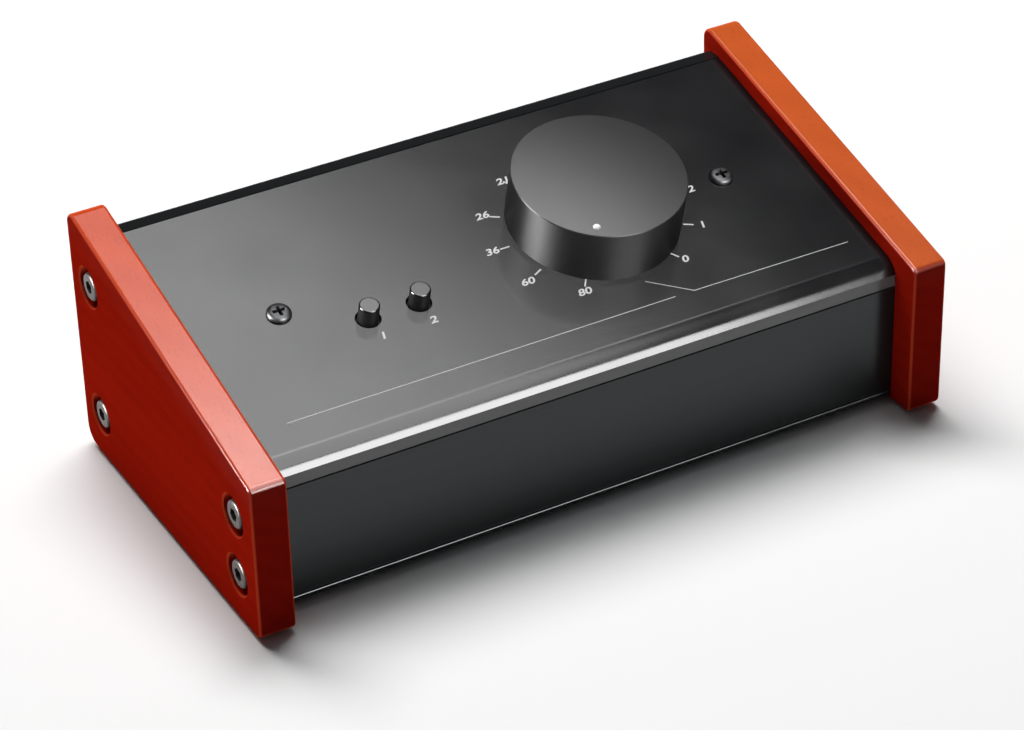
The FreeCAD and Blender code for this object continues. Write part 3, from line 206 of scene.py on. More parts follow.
def dress_node(name, material):
    """Give a CAD node its finish."""
    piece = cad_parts[name]
    if not piece.material_slots:
        piece.data.materials.append(material)
    for slot in piece.material_slots:
        slot.material = material


def smooth_by_angle(mesh, degrees=32):
    mesh.shade_smooth()
    mesh.set_sharp_from_angle(angle=math.radians(degrees))
    return mesh


def on_bench(data):
    """A passing object for a mesh or a text, for a modifier to work on."""
    work = bpy.data.objects.new("work", data)
    bpy.context.scene.collection.objects.link(work)
    return work


def off_bench(work):
    """The mesh that a passing object has become, which takes the object away."""
    scene_now = bpy.context.evaluated_depsgraph_get()
    made = bpy.data.meshes.new_from_object(work.evaluated_get(scene_now))
    bpy.data.objects.remove(work)
    return made


def even_normals(mesh):
    """Normals that follow the large flat faces, so that only the rounded edges look curved."""
    work = on_bench(mesh)
    weigh = work.modifiers.new("weigh", "WEIGHTED_NORMAL")
    weigh.keep_sharp, weigh.weight = True, 100
    return off_bench(work)


def add_piece(name, mesh, material, body, slot, *stands_for):
    """A finished piece: it rides on a body, and stands for the named CAD nodes."""
    if material is not None:
        mesh.materials.clear()
        mesh.materials.append(material)
    piece = bpy.data.objects.new(name, mesh)
    bpy.context.scene.collection.objects.link(piece)
    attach(piece, body)
    if stands_for:
        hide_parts(*stands_for)
    return piece


# Marks that the die draws along an extrusion, and the grit that etching leaves.
lines_group, source, sink = new_group("die lines", {"Vector": "Vector", "Across": "Float"},
                                      {"Lines": "Float", "Grit": "Float"})
along = add_node(lines_group, "ShaderNodeMapping", {
    "Vector": source.outputs["Vector"], "Scale": (0.012, 1.0, 1.0)})
drawn = add_node(lines_group, "ShaderNodeTexNoise", {
    "Vector": along.outputs["Vector"], "Scale": source.outputs["Across"], "Detail": 2.0})
lines_group.links.new(drawn.outputs["Fac"], sink.inputs["Lines"])
etched = add_node(lines_group, "ShaderNodeTexNoise", {
    "Vector": source.outputs["Vector"], "Scale": 5200.0, "Detail": 1.0})
lines_group.links.new(etched.outputs["Fac"], sink.inputs["Grit"])

case_finish, tree, shader, spots = new_material("dark anodised extrusion")
surface = use_group(tree, lines_group, {"Vector": spots.outputs["Object"], "Across": 1400.0})
mask = map_range(tree, surface.outputs["Lines"], 0.3, 0.7)
grit = math_node(tree, "MULTIPLY", surface.outputs["Grit"], 0.6)
height = math_node(tree, "ADD", surface.outputs["Lines"], grit)
feed(tree, shader, {
    "Base Color": blend_colour(tree, mask, (0.033, 0.036, 0.037), (0.036, 0.039, 0.040)),
    "Roughness": map_range(tree, surface.outputs["Lines"], 0.3, 0.7, 0.20, 0.225),
    "Normal": bump(tree, height, 0.0000005), "Metallic": 0.78})


def cad_shape(node):
    """A CAD node's shape, with its triangles joined to whole faces."""
    shape = bmesh.new()
    shape.from_mesh(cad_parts[node].data)
    bmesh.ops.remove_doubles(shape, verts=shape.verts, dist=1e-6)
    bmesh.ops.dissolve_limit(shape, angle_limit=math.radians(1), verts=shape.verts,
                             edges=shape.edges)
    return shape


def as_mesh(name, shape):
    mesh = bpy.data.meshes.new(name)
    shape.to_mesh(mesh)
    shape.free()
    return mesh


def along_front_groove(edge):
    """True for the two long edges of the groove in the front wall, 3.6 to 5 mm above the desk."""
    a, b = [vert.co for vert in edge.verts]
    return (abs(a.x - b.x) > 0.1 and max(a.y, b.y) < -0.0431
            and 0.0036 < min(a.z, b.z) and max(a.z, b.z) < 0.005)


# A sprayed or moulded surface: a soft cloud of tone and a fine ripple.
paint_group, source, sink = new_group(
    "sprayed coat", {"Vector": "Vector", "Ripple Scale": "Float"},
    {"Cloud": "Float", "Ripple": "Float"})
cloud = add_node(paint_group, "ShaderNodeTexNoise", {
    "Vector": source.outputs["Vector"], "Scale": 35.0, "Detail": 3.0})
paint_group.links.new(cloud.outputs["Fac"], sink.inputs["Cloud"])
ripple = add_node(paint_group, "ShaderNodeTexNoise", {
    "Vector": source.outputs["Vector"], "Scale": source.outputs["Ripple Scale"], "Detail": 3.0,
    "Roughness": 0.65})
paint_group.links.new(ripple.outputs["Fac"], sink.inputs["Ripple"])


def sprayed(name, dark, light, rough, ripple_scale=1500.0, depth=0.000008, mirror=0.5):
    material, tree, shader, spots = new_material(name)
    coat = use_group(tree, paint_group, {
        "Vector": spots.outputs["Object"], "Ripple Scale": ripple_scale})
    mask = map_range(tree, coat.outputs["Cloud"], 0.35, 0.65)
    feed(tree, shader, {
        "Base Color": blend_colour(tree, mask, dark, light),
        "Roughness": map_range(tree, coat.outputs["Cloud"], 0.3, 0.7, rough - 0.02, rough + 0.02),
        "Normal": bump(tree, coat.outputs["Ripple"], depth), "Specular IOR Level": mirror})
    return material


# The front wall's top face, in the seam under the skirt, is painted near black: painted shade in
# the seam.
GROOVE_EDGE = 0.00018
shape = cad_shape("lower_case")
bmesh.ops.bevel(shape, geom=[edge for edge in shape.edges if along_front_groove(edge)],
                offset=GROOVE_EDGE, segments=4, profile=0.5, affect="EDGES")
lower = even_normals(smooth_by_angle(as_mesh("lower_case_extrusion", shape), 40))
seam_shade_paint = sprayed("black painted seam shade", (0.004, 0.004, 0.004), (0.007, 0.007, 0.007), 0.9, 3000.0,
               0.00003, mirror=0.05)
lower.materials.clear()
lower.materials.append(case_finish)
lower.materials.append(seam_shade_paint)
# Faces in the seam take the near-black finish of painted shade.
for face in lower.polygons:
    in_seam = face.normal.z > 0.99 and face.center.y < -0.0405 and face.center.z > 0.030
    face.material_index = 1 if in_seam else 0
add_piece("lower_case_extrusion", lower, None, "case", "case_metal", "lower_case")
dress_node("rear_panel", case_finish)


# ---------------------------------------------------------------- rear sockets
# Two combination sockets in glass-filled plastic, held by countersunk screws, two large jacks
# with hexagon nuts and two small jacks with round nuts.


# Fine scratches and a change of tone for small steel parts, from a noise that has no direction.
metal_group, source, sink = new_group("handled metal", {"Vector": "Vector", "Scale": "Float"},
                                      {"Tone": "Float", "Height": "Float"})
tone = add_node(metal_group, "ShaderNodeTexNoise", {
    "Vector": source.outputs["Vector"], "Scale": source.outputs["Scale"], "Detail": 3.0})
grit = add_node(metal_group, "ShaderNodeTexNoise", {
    "Vector": source.outputs["Vector"], "Detail": 2.0,
    "Scale": math_node(metal_group, "MULTIPLY", source.outputs["Scale"], 4.0)})
metal_group.links.new(tone.outputs["Fac"], sink.inputs["Tone"])
metal_group.links.new(grit.outputs["Fac"], sink.inputs["Height"])


def plain_metal(name, dark, light, rough, scale=900.0):
    """A metal of one colour with slightly uneven tone, gloss and surface."""
    material, tree, shader, spots = new_material(name)
    surface = use_group(tree, metal_group, {"Vector": spots.outputs["Object"], "Scale": scale})
    mask = map_range(tree, surface.outputs["Tone"], 0.35, 0.65)
    feed(tree, shader, {
        "Base Color": blend_colour(tree, mask, dark, light),
        "Roughness": map_range(tree, surface.outputs["Tone"], 0.3, 0.7, rough - 0.05,
                               rough + 0.05),
        "Normal": bump(tree, surface.outputs["Height"], 0.000004), "Metallic": 1.0})
    return material


nickel = plain_metal("nickel plating", (0.46, 0.44, 0.40), (0.56, 0.54, 0.50), 0.27)
black_steel = plain_metal("blackened screw steel", (0.048, 0.048, 0.050), (0.068, 0.068, 0.070),
                          0.40)
socket_plastic = sprayed("black socket moulding", (0.010, 0.010, 0.011), (0.016, 0.016, 0.017),
                         0.42, 1800.0)

for name in ("input_socket_left", "input_socket_right", "output_jack_left", "output_jack_right",
             "mini_input_jack", "mini_output_jack"):
    dress_node(name, socket_plastic)
for name in ("output_jack_nuts", "mini_jack_nuts"):
    dress_node(name, nickel)
dress_node("input_socket_screws", black_steel)


# ---------------------------------------------------------------- boards, cable and cover brackets
# Two green glass-fibre boards: one stands on spacers on the floor, the other hangs from the cover.
# A grey ribbon cable with black connectors joins them. Folded brackets carry the cover.


zinc = plain_metal("zinc plating", (0.52, 0.54, 0.56), (0.64, 0.66, 0.68), 0.32, scale=500.0)
for side in ("left", "right"):
    dress_node(f"cover_bracket_{side}", zinc)

board_finish, tree, shader, spots = new_material("green board")
tracks = add_node(tree, "ShaderNodeTexBrick", {
    "Vector": spots.outputs["Object"], "Scale": 90.0, "Mortar Size": 0.06, "Mortar Smooth": 0.1,
    "Brick Width": 1.3, "Row Height": 0.35, "Color1": (0, 0, 0, 1),
    "Color2": (0.25, 0.25, 0.25, 1), "Mortar": (1, 1, 1, 1)})
weave = add_node(tree, "ShaderNodeTexNoise", {"Vector": spots.outputs["Object"], "Scale": 2500.0})
base = blend_colour(tree, weave.outputs["Fac"], (0.006, 0.050, 0.018), (0.010, 0.075, 0.028))
feed(tree, shader, {
    "Base Color": blend_colour(tree, tracks.outputs["Color"], base, (0.03, 0.19, 0.06)),
    "Roughness": 0.38, "Normal": bump(tree, tracks.outputs["Color"], 0.00002)})
for name in ("switch_board", "main_board"):
    dress_node(name, board_finish)
for name in ("switch_board_spacers", "board_spacers"):
    dress_node(name, nickel)
for name in ("switch_board_screws", "board_screws"):
    dress_node(name, zinc)

ribbon_vinyl = sprayed("grey ribbon vinyl", (0.20, 0.20, 0.21), (0.26, 0.26, 0.27), 0.5, 900.0)
dress_node("ribbon_connectors", socket_plastic)
dress_node("ribbon_cable", ribbon_vinyl)


# ---------------------------------------------------------------- push switches
# Two push switches in blue-grey moulding, soldered to the upper board, with a square plunger
# that the cap is pressed on.


switch_moulding = sprayed("blue grey moulding", (0.035, 0.045, 0.085), (0.05, 0.06, 0.11), 0.5,
                          2500.0)
for name in ("mono", "mute"):
    dress_node(f"{name}_switch_plunger", switch_moulding)
    dress_node(f"{name}_switch_body", switch_moulding)


# ---------------------------------------------------------------- attenuator under the knob
# A four-gang attenuator: drawn steel spindle, nickel-plated brass bushing with a zinc-plated
# washer and a nut that hold it to the cover, and moulded gangs with plated pins.


spindle_steel = plain_metal("drawn spindle steel", (0.55, 0.55, 0.55), (0.66, 0.66, 0.66), 0.25)
dress_node("attenuator_shaft", spindle_steel)
dress_node("attenuator_bushing", nickel)
dress_node("bushing_nut", nickel)
dress_node("bushing_washer", zinc)
dress_node("attenuator_body", switch_moulding)


# ---------------------------------------------------------------- sheet cover
# Folded aluminium sheet, 1.5 mm, with a round nose at the front and a short upright skirt. It is
# painted dark grey, satin, with the very fine ripple of a sprayed coat.

PANEL_SLOPE = math.atan2(26, 103)
cover_finish = sprayed("dark grey satin paint", (0.0028, 0.0028, 0.0036), (0.0040, 0.0040, 0.0050),
                       0.17, mirror=0.42)

# The upright skirt, which faces the front, is painted a lighter grey than the panel: painted light
# on the skirt.
tree = cover_finish.node_tree
shader = tree.nodes["Principled BSDF"]
spots = add_node(tree, "ShaderNodeTexCoord")
way = add_node(tree, "ShaderNodeSeparateXYZ", {"Vector": spots.outputs["Normal"]})
upright = map_range(tree, way.outputs["Y"], -0.95, -0.99)
painted = shader.inputs["Base Color"].links[0].from_socket
tree.links.new(blend_colour(tree, upright, painted, (0.12, 0.12, 0.122)),
               shader.inputs["Base Color"])

# The fold at the front opens from the panel as a nose of 7.3 mm radius, and meets the upright
# skirt in an edge. The fold of the plain sheet has its middle at FOLD_MIDDLE, in mm.
SKIRT_Y, CORNER_Z = -43.2, 40.662 + 8.3 * math.tan(PANEL_SLOPE)
FOLD_RADIUS, NOSE_START, NOSE_RADIUS, NOSE_END = 2.0, 5.0, 7.30, math.radians(65.3)
FOLD_MIDDLE = (SKIRT_Y + FOLD_RADIUS,
               CORNER_Z - FOLD_RADIUS * math.tan((math.pi / 2 - PANEL_SLOPE) / 2))
NOSE_MIDDLE = (SKIRT_Y + NOSE_START * math.cos(PANEL_SLOPE) + NOSE_RADIUS * math.sin(PANEL_SLOPE),
               CORNER_Z + NOSE_START * math.sin(PANEL_SLOPE) - NOSE_RADIUS * math.cos(PANEL_SLOPE))


def on_fold(vert):
    """How far round the outside of the fold a vertex lies, in radians from upright, or None."""
    y, z = vert.co.y * 1000 - FOLD_MIDDLE[0], vert.co.z * 1000 - FOLD_MIDDLE[1]
    turn = math.atan2(-y, z)
    if 1.75 < math.hypot(y, z) < 2.06 and PANEL_SLOPE - 0.02 < turn < math.pi / 2 + 0.02:
        return turn
    return None


shape = cad_shape("top_cover")
steps = [edge for edge in shape.edges
         if all(on_fold(vert) is not None for vert in edge.verts)
         and abs(on_fold(edge.verts[0]) - on_fold(edge.verts[1])) > 0.02]
bmesh.ops.subdivide_edges(shape, edges=steps, cuts=3, use_grid_fill=True)
turns = {vert: on_fold(vert) for vert in shape.verts}
for vert, turn in turns.items():
    if turn is not None:
        share = min(max((turn - PANEL_SLOPE) / (math.pi / 2 - PANEL_SLOPE), 0.0), 1.0)
        turn = PANEL_SLOPE + share * (NOSE_END - PANEL_SLOPE)
        vert.co.y = (NOSE_MIDDLE[0] - NOSE_RADIUS * math.sin(turn)) / 1000
        vert.co.z = (NOSE_MIDDLE[1] + NOSE_RADIUS * math.cos(turn)) / 1000
shape.normal_update()
cover = even_normals(smooth_by_angle(as_mesh("folded_cover", shape), 18))
add_piece("folded_cover", cover, cover_finish, "case", "cover_metal", "top_cover")


# ---------------------------------------------------------------- white print on the cover
# Screen-printed white ink, a few hundredths of a millimetre thick: eleven ticks and plain
# numbers round the knob, a number under each button, and two thin rules.

PANEL_FOOT = Vector((0, -0.0515, 0.040662))
INK_THICK = 0.03


def panel_matrix(x, s, n=0.0):
    """Where a piece stands on the sloped panel: mm to the right, up the slope and out of it."""
    tilt = Matrix.Rotation(PANEL_SLOPE, 4, "X")
    spot = (x / 1000, s / 1000, n / 1000)
    return Matrix.Translation(PANEL_FOOT) @ tilt @ Matrix.Translation(spot)


ink, tree, shader, spots = new_material("white printing ink")
coat = use_group(tree, paint_group, {"Vector": spots.outputs["Object"], "Ripple Scale": 6000.0})
tones = (0.46, 0.46, 0.46), (0.60, 0.60, 0.59)
feed(tree, shader, {
    "Base Color": blend_colour(tree, coat.outputs["Ripple"], *tones), "Roughness": 0.45})

KNOB_X, KNOB_S = 24.7, 54.2
# Each mark of the dial: its number, the angle and middle radius of its tick, and how far out the
# number stands. The scale is a switched attenuator's, so its steps aren't all alike.
DIAL_MARKS = (("80", -124.0, 23.25, 26.6), ("60", -153.7, 24.9, 29.6), ("36", -180.3, 25.8, 29.6),
              ("26", -206.6, 25.3, 28.7), ("21", -237.7, 25.0, 26.6), ("15", -268.0, 24.9, 27.6),
              ("10", -298.5, 24.9, 27.9), ("5", -329.0, 24.9, 28.4), ("2", -359.2, 25.1, 30.3),
              ("1", -385.7, 25.3, 28.9), ("0", -415.2, 23.6, 26.6))


def mark_spot(angle, reach):
    """A point of the dial in mm of the panel, from its angle and its distance from the middle."""
    turn = math.radians(angle)
    return Vector((reach * math.cos(turn), reach * math.sin(turn), 0))


def end_tree(group, instances, finish, sink):
    """The end of a tree: its instances become one mesh with one finish."""
    solid = add_node(group, "GeometryNodeRealizeInstances", {"Geometry": instances})
    painted = add_node(group, "GeometryNodeSetMaterial", {
        "Geometry": solid.outputs["Geometry"], "Material": finish})
    group.links.new(painted.outputs["Geometry"], sink.inputs["Geometry"])


def tick_tree():
    """Geometry Nodes: a short bar on every point, turned to point at the middle of the dial."""
    group, source, sink = new_group(
        "dial ticks", {"Marks": "Geometry", "Tick Size": "Vector", "Finish": "Material"},
        {"Geometry": "Geometry"}, "GeometryNodeTree")
    place = group.nodes.new("GeometryNodeInputPosition")
    parts = add_node(group, "ShaderNodeSeparateXYZ", {"Vector": place.outputs["Position"]})
    angle = math_node(group, "ARCTAN2", parts.outputs["Y"], parts.outputs["X"])
    about = add_node(group, "ShaderNodeCombineXYZ", {"Z": angle})
    lay = add_node(group, "FunctionNodeEulerToRotation", {"Euler": about.outputs["Vector"]})
    bar = add_node(group, "GeometryNodeMeshCube", {"Size": source.outputs["Tick Size"]})
    placed = add_node(group, "GeometryNodeInstanceOnPoints", {
        "Points": source.outputs["Marks"], "Instance": bar.outputs["Mesh"],
        "Rotation": lay.outputs["Rotation"]})
    end_tree(group, placed.outputs["Instances"], source.outputs["Finish"], sink)
    return group


def run_tree(name, group, start, values):
    """Put a tree on a start mesh with the given inputs and return its result as a plain mesh."""
    work = on_bench(start)
    modifier = work.modifiers.new("make", "NODES")
    modifier.node_group = group
    for item in group.interface.items_tree:
        if item.item_type == "SOCKET" and item.in_out == "INPUT" and item.name in values:
            modifier[item.identifier] = values[item.name]
    mesh = off_bench(work)
    mesh.name = name
    return mesh


TICK_LONG, TICK_WIDE = 2.7, 0.42
marks = bpy.data.meshes.new("marks")
marks.from_pydata([mark_spot(angle, middle) / 1000 for _, angle, middle, _ in DIAL_MARKS], [], [])
ticks = run_tree("dial_ticks", tick_tree(), marks, {
    "Tick Size": (TICK_LONG / 1000, TICK_WIDE / 1000, INK_THICK / 1000), "Finish": ink})
ticks.transform(panel_matrix(KNOB_X, KNOB_S, INK_THICK / 2))
add_piece("dial_ticks", ticks, None, "case", "white_paint")


def printed_text(words, x, s, high, lean=0.22, wide=1.25):
    """A number as a thin slab of ink, centred on a spot of the panel."""
    curve = bpy.data.curves.new("ink_text", "FONT")
    curve.body, curve.size, curve.shear = words, high / 1000 / 0.7, lean
    curve.align_x, curve.align_y = "CENTER", "CENTER"
    curve.extrude, curve.offset = INK_THICK / 2000, 0.00007
    curve.resolution_u = 6
    mesh = off_bench(on_bench(curve))
    mesh.transform(panel_matrix(x, s, INK_THICK / 2) @ Matrix.Diagonal((wide, 1, 1, 1)))
    return mesh


def joined(name, meshes):
    whole = bmesh.new()
    for mesh in meshes:
        whole.from_mesh(mesh)
    bmesh.ops.remove_doubles(whole, verts=whole.verts, dist=1e-7)
    return as_mesh(name, whole)


NUMBER_HIGH = 2.2
numbers = []
for words, angle, _, reach in DIAL_MARKS:
    spot = mark_spot(angle, reach)
    numbers.append(printed_text(words, KNOB_X + spot.x, KNOB_S + spot.y, NUMBER_HIGH))
add_piece("dial_numbers", joined("dial_numbers", numbers), ink, "case", "white_paint")

MONO_X, MUTE_X, BUTTON_S = -45.2, -30.8, 45.4
LABEL_DROP, LABEL_HIGH = 6.9, 2.3
labels = [printed_text("1", MONO_X + 0.6, BUTTON_S - LABEL_DROP, LABEL_HIGH),
          printed_text("2", MUTE_X + 0.4, BUTTON_S - LABEL_DROP, LABEL_HIGH)]
add_piece("button_numbers", joined("button_numbers", labels), ink, "case", "white_paint")


def printed_rule(points, wide):
    """A thin printed line through points (x, s) of the panel, mitred at its bends."""
    shape = bmesh.new()
    half = wide / 2
    pairs = []
    for i, point in enumerate(points):
        here = Vector(point)
        before = (here - Vector(points[i - 1])).normalized() if i else None
        after = (Vector(points[i + 1]) - here).normalized() if i + 1 < len(points) else None
        way = ((before or after) + (after or before)).normalized()
        across = Vector((-way.y, way.x)) * half / (way.dot(after or before))
        pairs.append((here + across, here - across))
    levels = []
    for level in (0.0, INK_THICK):
        levels.append([[shape.verts.new(panel_matrix(p.x, p.y, level).translation) for p in pair]
                       for pair in pairs])
    low, top = levels
    for i in range(len(pairs) - 1):
        shape.faces.new((top[i][0], top[i][1], top[i + 1][1], top[i + 1][0]))
        shape.faces.new((low[i][1], low[i][0], low[i + 1][0], low[i + 1][1]))
        for k in (0, 1):
            shape.faces.new((low[i][k], top[i][k], top[i + 1][k], low[i + 1][k]))
    for i in (0, -1):
        shape.faces.new((low[i][0], low[i][1], top[i][1], top[i][0]))
    bmesh.ops.recalc_face_normals(shape, faces=shape.faces)
    return as_mesh("rule", shape)


RULE_WIDE = 0.18
rules = [printed_rule([(-79.75, 21.3), (30.6, 21.5)], RULE_WIDE),
         printed_rule([(26.2, 29.3), (36.2, 21.5), (83.0, 21.1)], RULE_WIDE)]
add_piece("printed_rules", joined("printed_rules", rules), ink, "case", "white_paint")


# ---------------------------------------------------------------- push button caps
# Moulded in black plastic, polished on top and matt at the side. A flange keeps each cap under
# the panel, and a square socket takes the plunger of its switch.


def turned(name, profile, segments=48):
    """A closed turned shape about Z from (radius, height) pairs in mm, listed from the axis out."""
    shape = bmesh.new()
    rings = []
    for radius, height in profile:
        if radius == 0:
            rings.append([shape.verts.new((0, 0, height / 1000))])
        else:
            rings.append([shape.verts.new((radius / 1000 * math.cos(2 * math.pi * i / segments),
                                           radius / 1000 * math.sin(2 * math.pi * i / segments),
                                           height / 1000)) for i in range(segments)])
    for inner, outer in zip(rings, rings[1:]):
        for i in range(segments):
            j = (i + 1) % segments
            face = []
            for vert in (inner[i % len(inner)], outer[i % len(outer)],
                         outer[j % len(outer)], inner[j % len(inner)]):
                if vert not in face:
                    face.append(vert)
            if len(face) > 2:
                shape.faces.new(face)
    bmesh.ops.recalc_face_normals(shape, faces=shape.faces)
    return as_mesh(name, shape)


def cut_away(mesh, tool):
    """Subtract a closed tool from a mesh with Blender's own boolean, and return the new mesh."""
    work, cutter = on_bench(mesh), on_bench(as_mesh("cutter", tool))
    cut = work.modifiers.new("cut", "BOOLEAN")
    cut.operation, cut.object, cut.solver = "DIFFERENCE", cutter, "EXACT"
    made = off_bench(work)
    bpy.data.objects.remove(cutter)
    return made


CAP_BLACK = (0.006, 0.006, 0.006), (0.009, 0.009, 0.009)
polished_top = sprayed("polished cap top", *CAP_BLACK, 0.18, 2600.0, 0.0000012, mirror=0.55)
matt_side = sprayed("matt cap side", *CAP_BLACK, 0.5, 2600.0, mirror=0.22)
PLUNGER_SOCKET = 0.0032
# Each cap reaches from 5.0 mm out of the panel to 2.4 mm under it, with its flange at the foot.
for name, across in (("mono", MONO_X), ("mute", MUTE_X)):
    cap = turned(f"{name}_cap_moulding", [
        (0, 5.0), (2.24, 5.0), (2.3, 5.0), (2.46, 4.97), (2.58, 4.89), (2.66, 4.77), (2.7, 4.6),
        (2.7, -1.7), (4.2, -1.7), (4.2, -2.4), (0, -2.4)], 64)
    tool = bmesh.new()
    bmesh.ops.create_cube(tool, size=PLUNGER_SOCKET, matrix=Matrix.Diagonal((1, 1, 2.5, 1)))
    bmesh.ops.translate(tool, verts=tool.verts, vec=(0, 0, -0.0014))
    cap = cut_away(cap, tool)
    for finish in (matt_side, polished_top):
        cap.materials.append(finish)
    for face in cap.polygons:
        face.material_index = 1 if face.normal.z > 0.2 and face.center.z > 0.004 else 0
    cap.transform(panel_matrix(across, BUTTON_S))
    add_piece(f"{name}_cap_moulding", even_normals(smooth_by_angle(cap, 35)), None,
              f"{name}_button", "black_button_plastic", f"{name}_button_cap")


# ---------------------------------------------------------------- cover screws
# Two pan-head machine screws with a cross recess, blackened steel, that hold the cover down
# to the brackets under it.


def cross_recess(mesh, long, wide, deep, level):
    """Cut a tapered cross into the top of a turned head."""
    for turn in (0, math.pi / 2):
        tool = bmesh.new()
        rings = []
        for height, share in ((level + 0.6, 1.0), (level, 1.0), (level - deep, 0.45)):
            half_long, half_wide = long / 2 * share, wide / 2 * (0.75 if share < 1 else 1.0)
            corners = ((half_long, -half_wide), (half_long, half_wide),
                       (-half_long, half_wide), (-half_long, -half_wide))
            spots = [Matrix.Rotation(turn, 3, "Z") @ Vector((x, y, height)) for x, y in corners]
            rings.append([tool.verts.new(spot / 1000) for spot in spots])
        for low, high in zip(rings, rings[1:]):
            for i in range(4):
                tool.faces.new((low[i], low[(i + 1) % 4], high[(i + 1) % 4], high[i]))
        tool.faces.new(rings[0])
        tool.faces.new(rings[-1])
        bmesh.ops.recalc_face_normals(tool, faces=tool.faces)
        mesh = cut_away(mesh, tool)
    return mesh


def seat_tree():
    """Geometry Nodes: a screw on every point, turned to its seat and driven home at its own
    angle."""
    group, source, sink = new_group(
        "screws on seats", {"Seats": "Geometry", "Screw": "Object", "Seat Turn": "Vector",
                            "Seed": "Int", "Finish": "Material"},
        {"Geometry": "Geometry"}, "GeometryNodeTree")
    model = add_node(group, "GeometryNodeObjectInfo", {"Object": source.outputs["Screw"]})
    lay = add_node(group, "FunctionNodeEulerToRotation", {"Euler": source.outputs["Seat Turn"]})
    placed = add_node(group, "GeometryNodeInstanceOnPoints", {
        "Points": source.outputs["Seats"], "Instance": model.outputs["Geometry"],
        "Rotation": lay.outputs["Rotation"]})
    angle = add_node(group, "FunctionNodeRandomValue", {
        2: 0.0, 3: 2 * math.pi, "Seed": source.outputs["Seed"]}, data_type="FLOAT")
    about = add_node(group, "ShaderNodeCombineXYZ", {"Z": angle.outputs[1]})
    driven = add_node(group, "GeometryNodeRotateInstances", {
        "Instances": placed.outputs["Instances"], "Rotation": about.outputs["Vector"]})
    end_tree(group, driven.outputs["Instances"], source.outputs["Finish"], sink)
    return group


screw_seats = seat_tree()


def seat_screws(name, screw_mesh, spots, seat_turn, seed, material):
    """Copies of a screw at spots in metres, as one mesh."""
    points = bpy.data.meshes.new(f"{name}_seats")
    points.from_pydata([tuple(spot) for spot in spots], [], [])
    model = on_bench(screw_mesh)
    mesh = run_tree(name, screw_seats, points, {
        "Screw": model, "Seat Turn": seat_turn, "Seed": seed, "Finish": material})
    bpy.data.objects.remove(model)
    return even_normals(smooth_by_angle(mesh))


panel_screw = turned("panel_screw", [
    (0, 1.4), (1.9, 1.38), (2.5, 1.27), (2.9, 1.06), (3.15, 0.76), (3.28, 0.42), (3.3, 0.12),
    (3.2, 0.0), (1.45, 0.0), (1.45, -7.5), (1.1, -8.0), (0, -8.0)])
panel_screw = cross_recess(panel_screw, 3.7, 1.0, 2.3, 1.4)
SCREW_X, SCREW_S = 65, 55.6
spots = [panel_matrix(x, SCREW_S).translation for x in (-SCREW_X, SCREW_X)]
mesh = seat_screws("panel_screws_steel", panel_screw, spots, (PANEL_SLOPE, 0, 0), 347,
                   black_steel)
add_piece("panel_screws_steel", mesh, None, "case", "black_screw_steel", "panel_screws")


# ---------------------------------------------------------------- attenuation knob
# Turned from aluminium bar and anodised black: faced on a lathe, so its top has fine rings,
# with a small chamfer. A low white dome is its pointer, and a grub screw holds it to the shaft.

turned_group, source, sink = new_group("lathe rings", {"Vector": "Vector", "Rings": "Float"},
                                       {"Ring": "Float", "Cloud": "Float"})
parts = add_node(turned_group, "ShaderNodeSeparateXYZ", {"Vector": source.outputs["Vector"]})
flat = add_node(turned_group, "ShaderNodeCombineXYZ", {
    "X": parts.outputs["X"], "Y": parts.outputs["Y"]})
reach = add_node(turned_group, "ShaderNodeVectorMath", {0: flat.outputs["Vector"]},
                 operation="LENGTH")
run = math_node(turned_group, "ADD", reach.outputs["Value"], parts.outputs["Z"])
cut = add_node(turned_group, "ShaderNodeTexNoise", {
    "W": run, "Scale": source.outputs["Rings"], "Detail": 2.0}, noise_dimensions="1D")
turned_group.links.new(cut.outputs["Fac"], sink.inputs["Ring"])
cloud = add_node(turned_group, "ShaderNodeTexNoise", {
    "Vector": source.outputs["Vector"], "Scale": 300.0, "Detail": 3.0})
turned_group.links.new(cloud.outputs["Fac"], sink.inputs["Cloud"])


def turned_black(name, rough, ring_depth, mirror, base, drawn_out):
    """Black anodised aluminium that shows the rings of the lathe tool round the knob's axis."""
    material, tree, shader, spots = new_material(name)
    axis = add_node(tree, "ShaderNodeMapping", {
        "Vector": spots.outputs["Object"], "Location": panel_matrix(KNOB_X, KNOB_S).translation,
        "Rotation": (PANEL_SLOPE, 0, 0)}, vector_type="TEXTURE")
    face = use_group(tree, turned_group, {"Vector": axis.outputs["Vector"], "Rings": 5000.0})
    light = [1.35 * part for part in base]
    feed(tree, shader, {
        "Base Color": blend_colour(tree, face.outputs["Cloud"], base, light),
        "Roughness": map_range(tree, face.outputs["Ring"], 0.3, 0.7, rough - 0.02, rough + 0.02),
        "Normal": bump(tree, face.outputs["Ring"], ring_depth), "Specular IOR Level": mirror,
        "Anisotropic": drawn_out, "Anisotropic Rotation": 0.25})
    return material


faced_top = turned_black("faced black top", 0.30, 0.0000012, 0.55, (0.004, 0.004, 0.0045), 0.0)
# The finer tool marks of the rim draw its gloss out along the knob's axis.
# The rim's base colour is painted a lighter black than the top's: painted light on the side of the
# knob.
turned_rim = turned_black("turned black rim", 0.45, 0.000001, 0.27, (0.020, 0.020, 0.0215), 0.85)

